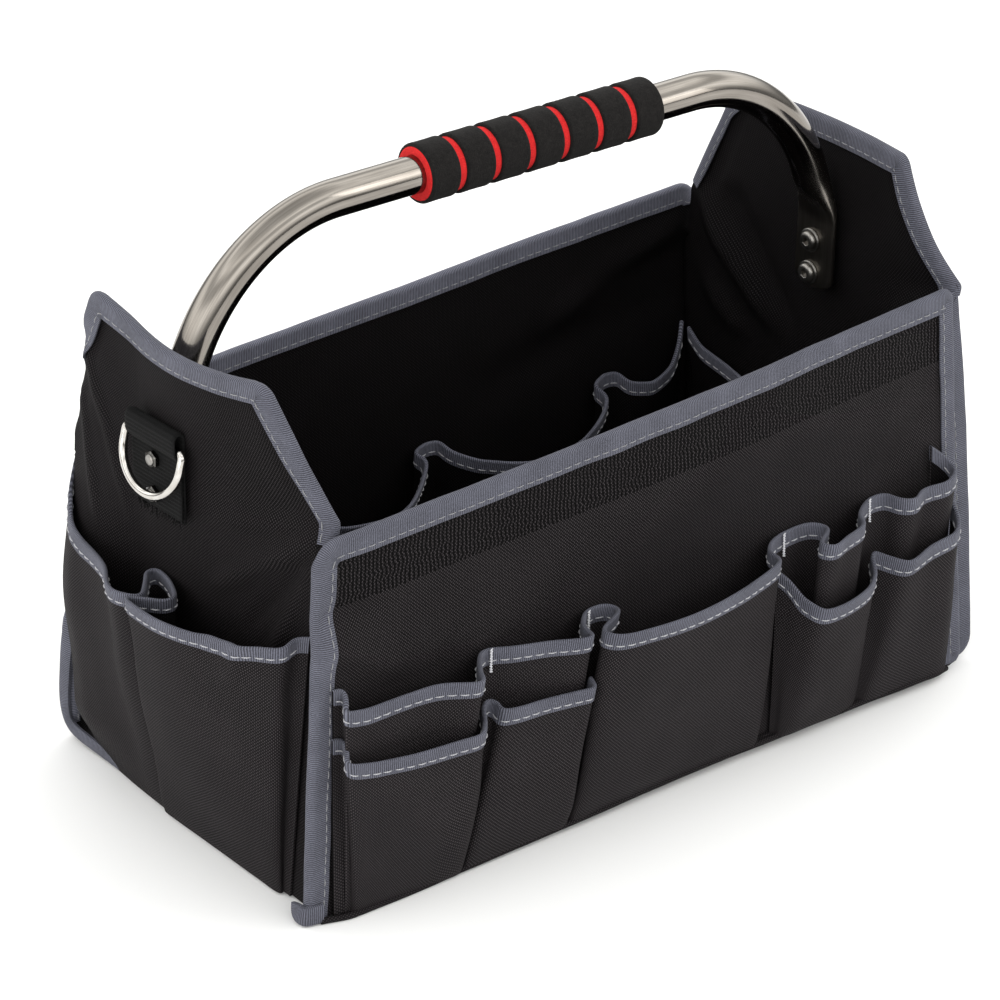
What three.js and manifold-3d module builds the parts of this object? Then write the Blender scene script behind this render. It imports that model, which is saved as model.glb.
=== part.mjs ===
// Open-topped tool bag: a soft cloth tote with bound edges, pleated pockets and a bolted tube handle.
// Millimetres, +Z up, the front of the bag faces -Y, the origin is under the middle of the base.

import * as THREE from "three";
import { mergeVertices } from "three/addons/utils/BufferGeometryUtils.js";
import Module from "manifold-3d";

const wasm = await Module();
wasm.setup();

// Bag body
const WALL_TOP = 208;              // height of the front and back walls at mid length
const TOP_RISE = 4.5;              // how much higher their right end stands, and lower their left end
const END_TOP = 276;               // height of the end walls
const END_TOP_HALF = 62;           // half length of an end wall's level top edge
const BASE_HALF_LENGTH = 210;      // to the outer edge of the corner binding, at the floor
const TOP_HALF_LENGTH = 206.5;     // the same at the top of the front wall
const BASE_HALF_DEPTH = 106.2;     // to the middle of the front wall's cloth, at the floor
const TOP_HALF_DEPTH = 93.2;       // the same at the top
const FRONT_BOW = 4;               // outward bow of the front wall's top edge
const BACK_DROP = 2;               // how much lower the back wall stands
const FLANGE = 9;                  // how far the corner seams stand out past the end walls
const WALL = 2.6;                  // padded wall cloth
const FLANGE_CLOTH = 1.5;          // end wall cloth where it is pressed into the corner seam
const BASE_PLATE = 4;              // padded base
const FOOT = BASE_PLATE + 0.4;     // where the walls and pockets stand on the base
const GAP = 0.3;                   // clearance between touching pieces

// The soft bag stands with its base turned a little against its top
const BASE_TWIST = THREE.MathUtils.degToRad(-3.5);
const TOP_SWAY = -3.5;

// End walls: outward bulge at mid width, outward lean of the part above the front wall, and how far
// that part flares out at its front and back edges
const END = {
  left: { side: -1, bulge: 16, lean: 8, flare: 0 },
  right: { side: 1, bulge: 10, lean: 5, flare: 6 },
};

// Binding tape
const TAPE = 0.85;
const TAPE_WIDTH = 11.5;           // on each side of a wall's edge
const POCKET_TAPE_WIDTH = 8.5;     // on each side of a pocket's edge
const CORNER_RADIUS = 14;

// Pocket cloth
const CLOTH = 1.0;
const POCKET_SWELL = 0.75;         // below 1 the pocket swells quickly above its bottom seam

// Handle
const TUBE_RADIUS = 9.5;
const HANDLE_X = -7;             // middle of the handle
const HANDLE_Y = 2.5;
const HANDLE_YAW = THREE.MathUtils.degToRad(-2.4);
const HANDLE_Z = 316;              // axis of the grip
const LEG_X = 200;                 // axis of the round part of a leg, from the middle
const PLATE_X = 203.3;             // middle of the flattened end, from the middle
const PLATE_HALF_WIDTH = 14;
const PLATE_HALF_THICKNESS = 2;
const PLATE_BOTTOM = 184;
const PLATE_TOP = 231;
const ROUND_FROM = 252;            // where the flattened leg has become round
const BEND_FOOT = 234;             // where the leg turns into the bend
const BEND_LENGTH = 90;            // the bend's reach along the bag
const BEND_HEIGHT = HANDLE_Z - BEND_FOOT;

// Foam grip, placed from the middle of the handle
const GRIP_START = -63;
const GRIP_END = 82;
const GRIP_RINGS = 7;
const GRIP_GROOVE = 4.4;
const GRIP_RADIUS = 15;
const GRIP_CORE_RADIUS = 13.4;

// Bolts through the flattened ends
const BOLT_HEIGHTS = { upper: 210.5, lower: 192 };
const BOLT_Y = { left: 11, right: -4.3 };
const SHANK_RADIUS = 2.9;
const HOLE_RADIUS = 3.2;
const HEAD_RADIUS = 5.25;
const HEAD_HEIGHT = 3;
const WASHER_RADIUS = 6.5;
const WASHER_THICKNESS = 1.2;
const NUT_RADIUS = 4.2;
const NUT_HEIGHT = 2.6;

// D-ring and its webbing
const WEBBING = 1.5;
const WEBBING_HALF_WIDTH = 19;
const WEBBING_FOOT = 183;
const LOOP_RISE = 6;               // height of the loop's fold over the bar
const RING_Y = { left: 10, right: 0 };
const RING_Z = 221.5;              // axis of the straight bar
const RING_WIRE = 1.75;            // wire radius
const RING_HALF_WIDTH = 21.75;     // to the middle of the wire
const RING_DROP = 27.5;            // bar to the bottom of the ring, between wire middles
const RING_TILT = THREE.MathUtils.degToRad(14);

// Front upper pocket strip: place along the wall and outward at the bound top edge, height of that edge,
// then place along and outward at the bottom seam, a row for each fold
const FRONT_UPPER = [
  { along: -196, out: 3.6, top: 126, foot: -192, lift: 2.2 },
  { along: -191, out: 4.2, top: 125, foot: -190, lift: 2.2 },
  { along: -196, out: 10.5, top: 121, foot: -195, lift: 3.7 },
  { along: -170, out: 13, top: 117, foot: -172, lift: 3.7 },
  { along: -146, out: 16, top: 117, foot: -150, lift: 3.7 },
  { along: -127, out: 26, top: 117, foot: -134, lift: 3.7 },
  { along: -121, out: 17, top: 117, foot: -128, lift: 2.2 },
  { along: -109, out: 4.2, top: 117, foot: -112, lift: 2.2 },
  { along: -95, out: 10, top: 117, foot: -98, lift: 2.2 },
  { along: -79, out: 16, top: 117, foot: -84, lift: 2.2 },
  { along: -58, out: 25, top: 117, foot: -64, lift: 3.7 },
  { along: -55, out: 15, top: 117, foot: -58, lift: 2.2 },
  { along: -44, out: 4.2, top: 117, foot: -48, lift: 2.2 },
  { along: -33, out: 5, top: 117, foot: -38, lift: 2.2 },
  { along: -31, out: 12, top: 117, foot: -36, lift: 3.7 },
  { along: -50, out: 24, top: 117, foot: -48, lift: 5.2 },
  { along: -47, out: 32, top: 117, foot: -46, lift: 6.6 },
  { along: -28, out: 37, top: 117, foot: -28, lift: 5.6 },
  { along: 2, out: 38, top: 117, foot: 0, lift: 3.8 },
  { along: 42, out: 32, top: 117, foot: 36, lift: 3.6 },
  { along: 66, out: 23, top: 117, foot: 60, lift: 5.2 },
  { along: 67, out: 15, top: 117, foot: 62, lift: 3.7 },
  { along: 74, out: 8, top: 117, foot: 70, lift: 2.2 },
  { along: 86, out: 4.2, top: 117, foot: 82, lift: 2.2 },
  { along: 104, out: 5, top: 117, foot: 96, lift: 2.2 },
  { along: 108, out: 13, top: 117, foot: 98, lift: 3.7 },
  { along: 94, out: 24, top: 117, foot: 88, lift: 5.2 },
  { along: 97, out: 30, top: 117, foot: 90, lift: 6.6 },
  { along: 109, out: 27, top: 117, foot: 104, lift: 4.6 },
  { along: 125, out: 22, top: 117, foot: 122, lift: 3.7 },
  { along: 131, out: 13, top: 117, foot: 128, lift: 2.4 },
  { along: 147, out: 4.2, top: 117, foot: 142, lift: 2.2 },
  { along: 156, out: 6, top: 117, foot: 150, lift: 2.2 },
  { along: 159, out: 15, top: 117, foot: 153, lift: 3.7 },
  { along: 165, out: 19, top: 117, foot: 160, lift: 3.7 },
  { along: 176, out: 14, top: 117, foot: 172, lift: 3.7 },
  { along: 192, out: 17, top: 118, foot: 188, lift: 3.7 },
  { along: 196, out: 9, top: 121, foot: 192, lift: 2.6 },
  { along: 191, out: 4, top: 125, foot: 188, lift: 2.2 },
];

// Front lower pocket strips, outside the upper strip
const FRONT_LOWER_LEFT = [
  { along: -201, out: 4.8, top: 100, foot: -198, lift: 3.8 },
  { along: -203, out: 10, top: 97, foot: -200, lift: 4.8 },
  { along: -198, out: 16, top: 94, foot: -197, lift: 6 },
  { along: -186, out: 19, top: 91, foot: -186, lift: 5.6 },
  { along: -164, out: 24, top: 90, foot: -168, lift: 5.6 },
  { along: -138, out: 27, top: 90, foot: -146, lift: 5.6 },
  { along: -121, out: 29, top: 90, foot: -130, lift: 5.6 },
  { along: -114, out: 20, top: 91, foot: -122, lift: 5.4 },
  { along: -109, out: 9.5, top: 93, foot: -112, lift: 4.2 },
  { along: -102, out: 14, top: 91, foot: -103, lift: 4.2 },
  { along: -84, out: 21, top: 90, foot: -88, lift: 4.8 },
  { along: -66, out: 26, top: 90, foot: -72, lift: 5.4 },
  { along: -58.5, out: 27, top: 90, foot: -64, lift: 5.6 },
  { along: -54.5, out: 20.5, top: 91, foot: -58, lift: 4.6 },
];
const FRONT_LOWER_RIGHT = [
  { along: 80, out: 10.5, top: 94, foot: 79, lift: 4.4 },
  { along: 84, out: 22, top: 88, foot: 80, lift: 7.0 },
  { along: 88, out: 33, top: 86, foot: 84, lift: 8.4 },
  { along: 102, out: 34, top: 85, foot: 98, lift: 8.2 },
  { along: 123, out: 29, top: 85, foot: 120, lift: 6.4 },
  { along: 136, out: 21, top: 86, foot: 132, lift: 5.6 },
  { along: 145, out: 10, top: 91, foot: 141, lift: 4.4 },
  { along: 150, out: 15, top: 89, foot: 146, lift: 4.6 },
  { along: 160, out: 25, top: 87, foot: 155, lift: 5.8 },
  { along: 178, out: 21, top: 89, foot: 174, lift: 5.8 },
  { along: 195, out: 23, top: 91, foot: 191, lift: 5.8 },
  { along: 203, out: 16, top: 94, foot: 197, lift: 5.6 },
];

// End pocket strips; along is the place from the back of the bag to the front
const LEFT_END = [
  { along: 88, out: 4.4, top: 164, foot: 82, lift: 2.4 },
  { along: 84, out: 11, top: 156, foot: 80, lift: 3.2 },
  { along: 64, out: 18, top: 148, foot: 66, lift: 3.8 },
  { along: 40, out: 24, top: 145, foot: 50, lift: 4.2 },
  { along: 18, out: 29, top: 145, foot: 38, lift: 5.2 },
  { along: 7, out: 26, top: 145, foot: 32, lift: 5.2 },
  { along: 7, out: 18, top: 145, foot: 32, lift: 3.7 },
  { along: 19, out: 9.5, top: 145, foot: 40, lift: 3.7 },
  { along: 17, out: 4.2, top: 145, foot: 41, lift: 2.2 },
  { along: 4, out: 4.6, top: 145, foot: 32, lift: 2.2 },
  { along: -9, out: 12, top: 145, foot: 24, lift: 2.2 },
  { along: -10, out: 21, top: 145, foot: 22, lift: 3.7 },
  { along: -2, out: 29, top: 145, foot: 24, lift: 5.2 },
  { along: -6, out: 35, top: 145, foot: 20, lift: 6.4 },
  { along: -24, out: 33, top: 145, foot: 4, lift: 5.2 },
  { along: -50, out: 28, top: 145, foot: -28, lift: 4.2 },
  { along: -72, out: 21, top: 145, foot: -60, lift: 3.8 },
  { along: -84, out: 13, top: 147, foot: -80, lift: 3.6 },
  { along: -82, out: 6.4, top: 149, foot: -79, lift: 2.4 },
  { along: -88, out: 4.2, top: 150, foot: -83, lift: 2.2 },
];
const RIGHT_END = [
  { along: 88, out: 4.4, top: 150, foot: 82, lift: 2.4 },
  { along: 80, out: 12, top: 147, foot: 78, lift: 3.6 },
  { along: 52, out: 24, top: 145, foot: 54, lift: 4.2 },
  { along: 18, out: 30, top: 145, foot: 24, lift: 5.2 },
  { along: -18, out: 32, top: 145, foot: -16, lift: 5.2 },
  { along: -52, out: 28, top: 145, foot: -48, lift: 4.2 },
  { along: -78, out: 16, top: 147, foot: -76, lift: 3.6 },
  { along: -88, out: 4.4, top: 152, foot: -83, lift: 2.4 },
];

// Inner pocket strips; out is measured into the bag
const INNER_BACK = [
  { along: -182, out: 4, top: 112, foot: -180, lift: 2.2 },
  { along: -150, out: 30, top: 102, foot: -150, lift: 2.4 },
  { along: -122, out: 24, top: 103, foot: -124, lift: 2.4 },
  { along: -112, out: 4.2, top: 108, foot: -112, lift: 2.2 },
  { along: -98, out: 16, top: 103, foot: -100, lift: 2.4 },
  { along: -66, out: 42, top: 100, foot: -70, lift: 2.6 },
  { along: -33, out: 46, top: 100, foot: -38, lift: 2.6 },
  { along: 4, out: 20, top: 101, foot: -4, lift: 2.4 },
  { along: 7, out: 10, top: 105, foot: 2, lift: 2.2 },
  { along: 16, out: 4.2, top: 108, foot: 14, lift: 2.2 },
  { along: 25, out: 10, top: 104, foot: 24, lift: 2.2 },
  { along: 36, out: 24, top: 99, foot: 36, lift: 2.4 },
  { along: 58, out: 40, top: 98, foot: 56, lift: 2.6 },
  { along: 94, out: 38, top: 98, foot: 92, lift: 2.6 },
  { along: 128, out: 20, top: 102, foot: 124, lift: 2.4 },
  { along: 130, out: 11, top: 108, foot: 128, lift: 2.2 },
  { along: 141, out: 4.2, top: 112, foot: 140, lift: 2.2 },
  { along: 150, out: 6.5, top: 110, foot: 150, lift: 2.2 },
  { along: 158, out: 13, top: 105, foot: 157, lift: 2.4 },
  { along: 170, out: 12, top: 106, foot: 168, lift: 2.4 },
  { along: 184, out: 4.4, top: 112, foot: 180, lift: 2.2 },
];
const INNER_RIGHT = [
  { along: 80, out: 4.2, top: 126, foot: 78, lift: 2.2 },
  { along: 58, out: 9, top: 118, foot: 56, lift: 2.4 },
  { along: 22, out: 16, top: 114, foot: 20, lift: 2.4 },
  { along: -22, out: 16, top: 114, foot: -20, lift: 2.4 },
  { along: -58, out: 9, top: 118, foot: -56, lift: 2.4 },
  { along: -80, out: 4.2, top: 126, foot: -78, lift: 2.2 },
];

const cloth = new THREE.MeshStandardMaterial({ color: 0x1b1b1d, roughness: 0.85, metalness: 0 });
const tape = new THREE.MeshStandardMaterial({ color: 0x6a6b76, roughness: 0.8, metalness: 0 });
const webbing = new THREE.MeshStandardMaterial({ color: 0x121213, roughness: 0.9, metalness: 0 });
const steel = new THREE.MeshStandardMaterial({ color: 0xb9b4ac, roughness: 0.35, metalness: 1 });
const chrome = new THREE.MeshStandardMaterial({ color: 0xd8d6d2, roughness: 0.15, metalness: 1 });
const blackFoam = new THREE.MeshStandardMaterial({ color: 0x161617, roughness: 0.9, metalness: 0 });
const redFoam = new THREE.MeshStandardMaterial({ color: 0xc8282a, roughness: 0.85, metalness: 0 });

const bag = new THREE.Group();

const mix = (a, b, t) => a + (b - a) * t;
const clamp01 = (t) => Math.min(1, Math.max(0, t));
const smooth = (t) => clamp01(t) ** 2 * (3 - 2 * clamp01(t));

function addMesh(name, geometry, material) {
  const mesh = new THREE.Mesh(geometry, material);
  mesh.name = name;
  bag.add(mesh);
  return mesh;
}

// The whole soft bag is turned and swayed by height, from the floor to the top of the front wall
function settle(x, y, z) {
  const low = clamp01(1 - z / WALL_TOP);
  const turn = BASE_TWIST * low;
  return new THREE.Vector3(
    x * Math.cos(turn) - y * Math.sin(turn) + TOP_SWAY * (1 - low),
    x * Math.sin(turn) + y * Math.cos(turn),
    z,
  );
}

const edgeHalfLength = (z) => mix(BASE_HALF_LENGTH, TOP_HALF_LENGTH, z / WALL_TOP);
const wallTop = (x) => WALL_TOP + TOP_RISE * x / TOP_HALF_LENGTH;

// Middle of the cloth of the front and back walls, moved outward by out
const halfDepth = (z) => mix(BASE_HALF_DEPTH, TOP_HALF_DEPTH, z / WALL_TOP);
const frontBow = (x, z) => FRONT_BOW * (1 - (x / BASE_HALF_LENGTH) ** 2) * (z / WALL_TOP) ** 2;
const frontWall = (x, z, out) => settle(x, -halfDepth(z) - frontBow(x, z) - out, z);
const backWall = (x, z, out) => settle(x, halfDepth(z) + out, z);

// Middle of the cloth of an end wall
function endReach(end, y, z) {
  const above = Math.max(0, (z - WALL_TOP) / (END_TOP - WALL_TOP));
  const plain = edgeHalfLength(Math.min(z, WALL_TOP)) - FLANGE - WALL / 2 + end.lean * above;
  const across = Math.max(0, 1 - (y / 95) ** 2) ** 2;
  const flare = end.flare * clamp01((Math.abs(y) - 20) / 68) ** 2 * clamp01((z - 186) / 23);
  return plain + flare + end.bulge * across * smooth(z / 190) * mix(1, 0.85, above);
}
const endWall = (end, y, z, out) => settle(end.side * (endReach(end, y, z) + out), y, z);

// Closed body between two grids of points; point(i, j, side) gives the point of either side.
// From row turned on, the quads are split along their other diagonal
function slabBody(columns, rows, point, turned = rows) {
  const positions = [];
  for (const side of [0, 1]) {
    for (let i = 0; i < columns; i += 1) {
      for (let j = 0; j < rows; j += 1) {
        positions.push(...point(i, j, side).toArray());
      }
    }
  }
  const at = (i, j, side) => side * columns * rows + i * rows + j;
  const triangles = [];
  const quad = (a, b, c, d) => triangles.push(a, b, c, a, c, d);
  for (let i = 0; i + 1 < columns; i += 1) {
    for (let j = 0; j + 1 < rows; j += 1) {
      if (j < turned) {
        quad(at(i, j, 0), at(i + 1, j, 0), at(i + 1, j + 1, 0), at(i, j + 1, 0));
        quad(at(i, j, 1), at(i, j + 1, 1), at(i + 1, j + 1, 1), at(i + 1, j, 1));
      } else {
        quad(at(i + 1, j, 0), at(i + 1, j + 1, 0), at(i, j + 1, 0), at(i, j, 0));
        quad(at(i, j + 1, 1), at(i + 1, j + 1, 1), at(i + 1, j, 1), at(i, j, 1));
      }
    }
    quad(at(i, 0, 0), at(i, 0, 1), at(i + 1, 0, 1), at(i + 1, 0, 0));
    quad(at(i, rows - 1, 0), at(i + 1, rows - 1, 0), at(i + 1, rows - 1, 1), at(i, rows - 1, 1));
  }
  for (let j = 0; j + 1 < rows; j += 1) {
    quad(at(0, j, 0), at(0, j + 1, 0), at(0, j + 1, 1), at(0, j, 1));
    quad(at(columns - 1, j, 0), at(columns - 1, j, 1), at(columns - 1, j + 1, 1), at(columns - 1, j + 1, 0));
  }
  return facingOut(positions, triangles);
}

// Swept body through rings of points; an open sweep is capped with a fan at each end
function sweepBody(rings, closed) {
  const size = rings[0].length;
  const positions = rings.flat().flatMap((p) => p.toArray());
  const triangles = [];
  const last = closed ? rings.length : rings.length - 1;
  for (let i = 0; i < last; i += 1) {
    const next = (i + 1) % rings.length;
    for (let k = 0; k < size; k += 1) {
      const turn = (k + 1) % size;
      triangles.push(i * size + k, next * size + k, next * size + turn);
      triangles.push(i * size + k, next * size + turn, i * size + turn);
    }
  }
  if (!closed) {
    const final = (rings.length - 1) * size;
    for (let k = 1; k + 1 < size; k += 1) {
      triangles.push(0, k, k + 1);
      triangles.push(final, final + k + 1, final + k);
    }
  }
  return facingOut(positions, triangles);
}

// Indexed geometry whose faces point out of the body
function facingOut(positions, triangles) {
  const a = new THREE.Vector3();
  const b = new THREE.Vector3();
  const c = new THREE.Vector3();
  let volume = 0;
  for (let t = 0; t < triangles.length; t += 3) {
    a.fromArray(positions, triangles[t] * 3);
    b.fromArray(positions, triangles[t + 1] * 3);
    c.fromArray(positions, triangles[t + 2] * 3);
    volume += a.dot(b.cross(c));
  }
  if (volume < 0) {
    triangles.reverse();
  }
  const geometry = new THREE.BufferGeometry();
  geometry.setAttribute("position", new THREE.Float32BufferAttribute(positions, 3));
  geometry.setIndex(triangles);
  geometry.computeVertexNormals();
  return geometry;
}

function toSolid(geometry) {
  const bare = geometry.clone();
  bare.deleteAttribute("normal");
  bare.deleteAttribute("uv");
  const merged = mergeVertices(bare, 1e-4);
  return new wasm.Manifold(new wasm.Mesh({
    numProp: 3,
    vertProperties: new Float32Array(merged.attributes.position.array),
    triVerts: new Uint32Array(merged.index.array),
  }));
}

function fromSolid(solid) {
  const mesh = solid.getMesh();
  const geometry = new THREE.BufferGeometry();
  geometry.setAttribute("position", new THREE.Float32BufferAttribute(mesh.vertProperties, 3));
  geometry.setIndex(Array.from(mesh.triVerts));
  geometry.computeVertexNormals();
  return geometry;
}

// Hole along X through a piece
function drill(geometry, holes) {
  let solid = toSolid(geometry);
  for (const hole of holes) {
    const cutter = new THREE.CylinderGeometry(HOLE_RADIUS, HOLE_RADIUS, 60, 12);
    cutter.rotateZ(Math.PI / 2);
    cutter.translate(hole.x, hole.y, hole.z);
    solid = solid.subtract(toSolid(cutter));
  }
  return fromSolid(solid);
}

// Base
function baseBody() {
  const halfLength = BASE_HALF_LENGTH - 6;
  const depth = BASE_HALF_DEPTH + 4;
  const radius = 18;
  const outline = new THREE.Shape();
  outline.absarc(halfLength - radius, depth - radius, radius, 0, Math.PI / 2);
  outline.absarc(radius - halfLength, depth - radius, radius, Math.PI / 2, Math.PI);
  outline.absarc(radius - halfLength, radius - depth, radius, Math.PI, Math.PI * 1.5);
  outline.absarc(halfLength - radius, radius - depth, radius, Math.PI * 1.5, Math.PI * 2);
  const body = new THREE.ExtrudeGeometry(outline, {
    depth: BASE_PLATE - 2.4,
    bevelThickness: 1.2,
    bevelSize: 1.2,
    bevelOffset: -1.2,
    bevelSegments: 1,
    curveSegments: 4,
  });
  body.translate(0, 0, 1.2);
  body.rotateZ(BASE_TWIST);
  return body;
}
addMesh("base_tray", baseBody(), cloth);

// Front and back walls: the corners of the top edge are rounded under the tape
function longWallBody(wall, drop) {
  const inset = TAPE + GAP;
  const across = [-1, -0.985, -0.955, -0.92, -0.7, -0.5, -0.25, 0, 0.25, 0.5, 0.7, 0.92, 0.955, 0.985, 1];
  const rows = 7;
  return slabBody(across.length, rows, (i, j, side) => {
    const edge = edgeHalfLength(WALL_TOP) - inset;
    const fromEdge = edge * (1 - Math.abs(across[i]));
    const inCorner = Math.max(0, CORNER_RADIUS - fromEdge);
    const cut = CORNER_RADIUS - Math.sqrt(CORNER_RADIUS ** 2 - inCorner ** 2);
    const top = wallTop(across[i] * edge) - drop - inset - cut;
    const z = mix(FOOT, top, j / (rows - 1));
    const x = across[i] * (edgeHalfLength(z) - inset);
    return wall(x, z, side ? WALL / 2 : -WALL / 2);
  });
}
addMesh("front_panel", longWallBody(frontWall, 0), cloth);
addMesh("back_panel", longWallBody(backWall, BACK_DROP), cloth);

// End walls: below FLANGE_END the side edges turn out into the corner seams
const FLANGE_TOP = WALL_TOP - CORNER_RADIUS - 12;
const FLANGE_END = FLANGE_TOP + 2;
const FLANGE_DEPTH = WALL / 2 + GAP + FLANGE_CLOTH / 2;
const SLOPE_FOOT_HALF = TOP_HALF_DEPTH - 3.6;

function shoulderHalf(z) {
  const rise = clamp01((z - WALL_TOP) / (END_TOP - WALL_TOP));
  return mix(SLOPE_FOOT_HALF, END_TOP_HALF, rise);
}

function endWallBody(end) {
  const inset = TAPE + GAP;
  const levels = [FOOT, 50, 95, 140, FLANGE_TOP, FLANGE_END, FLANGE_END + 2, WALL_TOP + 1, 230, 252,
    END_TOP - 8 - inset, END_TOP - 3 - inset, END_TOP - inset];
  const main = [-1, -0.84, -0.68, -0.4, -0.14, 0.14, 0.4, 0.68, 0.84, 1];
  const columns = main.length + 6;
  return slabBody(columns, levels.length, (i, j, side) => {
    const z = levels[j];
    const seam = halfDepth(z) - FLANGE_DEPTH;
    const mirror = i < columns / 2 ? -1 : 1;
    const step = mirror < 0 ? i : columns - 1 - i;
    const offset = side ? 0.5 : -0.5;
    if (z > FLANGE_END) {
      const free = z <= WALL_TOP ? seam - 2.4 : shoulderHalf(z) - inset;
      const rounding = Math.max(0, z - (END_TOP - 8 - inset));
      const half = free - (8 - Math.sqrt(64 - rounding ** 2));
      const y = step < 3 ? mirror * (half - step * 1.5) : main[i - 3] * (half - 4.5);
      return endWall(end, y, z, offset * WALL);
    }
    const plain = endReach(end, 95, z);
    const tip = z < FLANGE_END ? edgeHalfLength(z) - TAPE - GAP - 0.4 : plain + 2.6;
    const turn = z < FLANGE_END ? plain + 3.2 : plain + 2;
    if (step === 0) {
      return settle(end.side * tip, mirror * (seam - offset * FLANGE_CLOTH), z);
    }
    if (step === 1) {
      return settle(end.side * turn, mirror * (seam - offset * FLANGE_CLOTH), z);
    }
    if (step === 2) {
      const bend = offset * FLANGE_CLOTH * 0.7;
      return settle(end.side * (plain + 0.8 + bend), mirror * (seam - 0.8 - bend), z);
    }
    return endWall(end, main[i - 3] * (seam - 4), z, offset * WALL);
  });
}

// Stations along a path with rounded corners in a wall's own plane, each with its inward direction
function edgeStations(corners, radius, spacing) {
  const stations = [];
  const place = (p, inward) => stations.push({ a: p.x, b: p.y, inA: inward.x, inB: inward.y });
  const inwardOf = (from, to) => new THREE.Vector2(to.y - from.y, from.x - to.x).normalize();
  let start = corners[0];
  for (let k = 1; k < corners.length; k += 1) {
    const here = corners[k];
    const before = corners[k - 1];
    const direction = here.clone().sub(before).normalize();
    const inward = inwardOf(before, here);
    const after = corners[k + 1];
    let stop = here;
    let bend = null;
    if (after) {
      const onward = after.clone().sub(here).normalize();
      const angle = Math.acos(clamp01((direction.dot(onward) + 1) / 2) * 2 - 1);
      const setback = radius * Math.tan(angle / 2);
      stop = here.clone().addScaledVector(direction, -setback);
      bend = { angle, centre: stop.clone().addScaledVector(inward, radius) };
      bend.next = here.clone().addScaledVector(onward, setback);
    }
    const count = Math.max(1, Math.round(start.distanceTo(stop) / spacing));
    for (let s = 0; s <= count; s += 1) {
      place(start.clone().lerp(stop, s / count), inward);
    }
    if (bend) {
      const steps = Math.max(2, Math.round(bend.angle / 0.4));
      for (let s = 1; s < steps; s += 1) {
        const turned = inward.clone().rotateAround(new THREE.Vector2(), -bend.angle * s / steps);
        place(bend.centre.clone().addScaledVector(turned, -radius), turned);
      }
      start = bend.next;
    }
  }
  return stations;
}

// Folded tape over an edge: depth inward from the fold, and offset across the cloth.
// At the corner seams its inner leg is narrower, because the end wall turns away there
function foldedTape(width, innerWidth, outer, inner) {
  return {
    outside: [[width, outer], [0, outer], [0, -inner], [innerWidth, -inner]],
    inside: [[width, outer - TAPE], [TAPE, outer - TAPE], [TAPE, TAPE - inner], [innerWidth, TAPE - inner]],
  };
}

const TAPE_HALF = WALL / 2 + GAP + TAPE;
const SEAM_TAPE_HALF = WALL / 2 + GAP + FLANGE_CLOTH + GAP + TAPE;
const SEAM_INNER_WIDTH = 5.5;
const END_TAPE_HALF = TAPE_HALF + 0.5;

function longBindingBody(wall, drop) {
  const foot = FOOT;
  const corner = (side) => new THREE.Vector2(side * TOP_HALF_LENGTH, wallTop(side * TOP_HALF_LENGTH) - drop);
  const corners = [
    new THREE.Vector2(-edgeHalfLength(foot), foot),
    corner(-1),
    corner(1),
    new THREE.Vector2(edgeHalfLength(foot), foot),
  ];
  const stations = edgeStations(corners, CORNER_RADIUS, 50);
  return slabBody(stations.length, 4, (i, j, side) => {
    const station = stations[i];
    const thick = smooth((wallTop(station.a) - drop - station.b - 6) / 8);
    const innerWidth = mix(TAPE_WIDTH, SEAM_INNER_WIDTH, thick);
    const inner = mix(TAPE_HALF, SEAM_TAPE_HALF, thick);
    const profile = foldedTape(TAPE_WIDTH, innerWidth, TAPE_HALF, inner);
    const [inward, out] = (side ? profile.inside : profile.outside)[j];
    return wall(station.a + inward * station.inA, station.b + inward * station.inB, out);
  });
}
addMesh("front_binding", longBindingBody(frontWall, 0), tape);
addMesh("back_binding", longBindingBody(backWall, BACK_DROP), tape);

function endBindingBody(end) {
  const foot = WALL_TOP + 0.5;
  const corners = [
    new THREE.Vector2(-shoulderHalf(foot), foot),
    new THREE.Vector2(-END_TOP_HALF, END_TOP),
    new THREE.Vector2(END_TOP_HALF, END_TOP),
    new THREE.Vector2(shoulderHalf(foot), foot),
  ];
  const stations = edgeStations(corners, CORNER_RADIUS, 20);
  const profile = foldedTape(TAPE_WIDTH, TAPE_WIDTH, END_TAPE_HALF, END_TAPE_HALF);
  return slabBody(stations.length, 4, (i, j, side) => {
    const station = stations[i];
    const [inward, out] = (side ? profile.inside : profile.outside)[j];
    return endWall(end, station.a + inward * station.inA, station.b + inward * station.inB, out);
  });
}

// Pocket strips: a smooth run through the rows of a table, between its bottom seam and its top edge
function stripColumns(table, perFold) {
  const curve = (key) => new THREE.CatmullRomCurve3(
    table.map((row) => new THREE.Vector3(row[key[0]], row[key[1]], 0)), false, "centripetal");
  const spline = (values, t) => {
    const spans = values.length - 1;
    const k = Math.min(spans - 1, Math.floor(t * spans));
    return mix(values[k], values[k + 1], t * spans - k);
  };
  const edge = curve(["along", "out"]);
  const seam = curve(["foot", "lift"]);
  const count = (table.length - 1) * perFold + 1;
  return Array.from({ length: count }, (_, i) => {
    const t = i / (count - 1);
    return { edge: edge.getPoint(t), seam: seam.getPoint(t), top: spline(table.map((row) => row.top), t) };
  });
}

function stripPlan(columns, i, z) {
  const column = columns[i];
  const t = Math.max(0, (z - FOOT) / (column.top - FOOT));
  return new THREE.Vector2(
    mix(column.seam.x, column.edge.x, t),
    mix(column.seam.y, column.edge.y, t ** POCKET_SWELL),
  );
}

// Point of a strip at a height, moved across the cloth by offset
function stripPoint(columns, i, z, offset, wall) {
  const here = stripPlan(columns, i, z);
  const before = stripPlan(columns, Math.max(0, i - 1), z);
  const after = stripPlan(columns, Math.min(columns.length - 1, i + 1), z);
  const tangent = after.sub(before).normalize();
  return wall(here.x - tangent.y * offset, z, here.y + tangent.x * offset);
}

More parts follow.
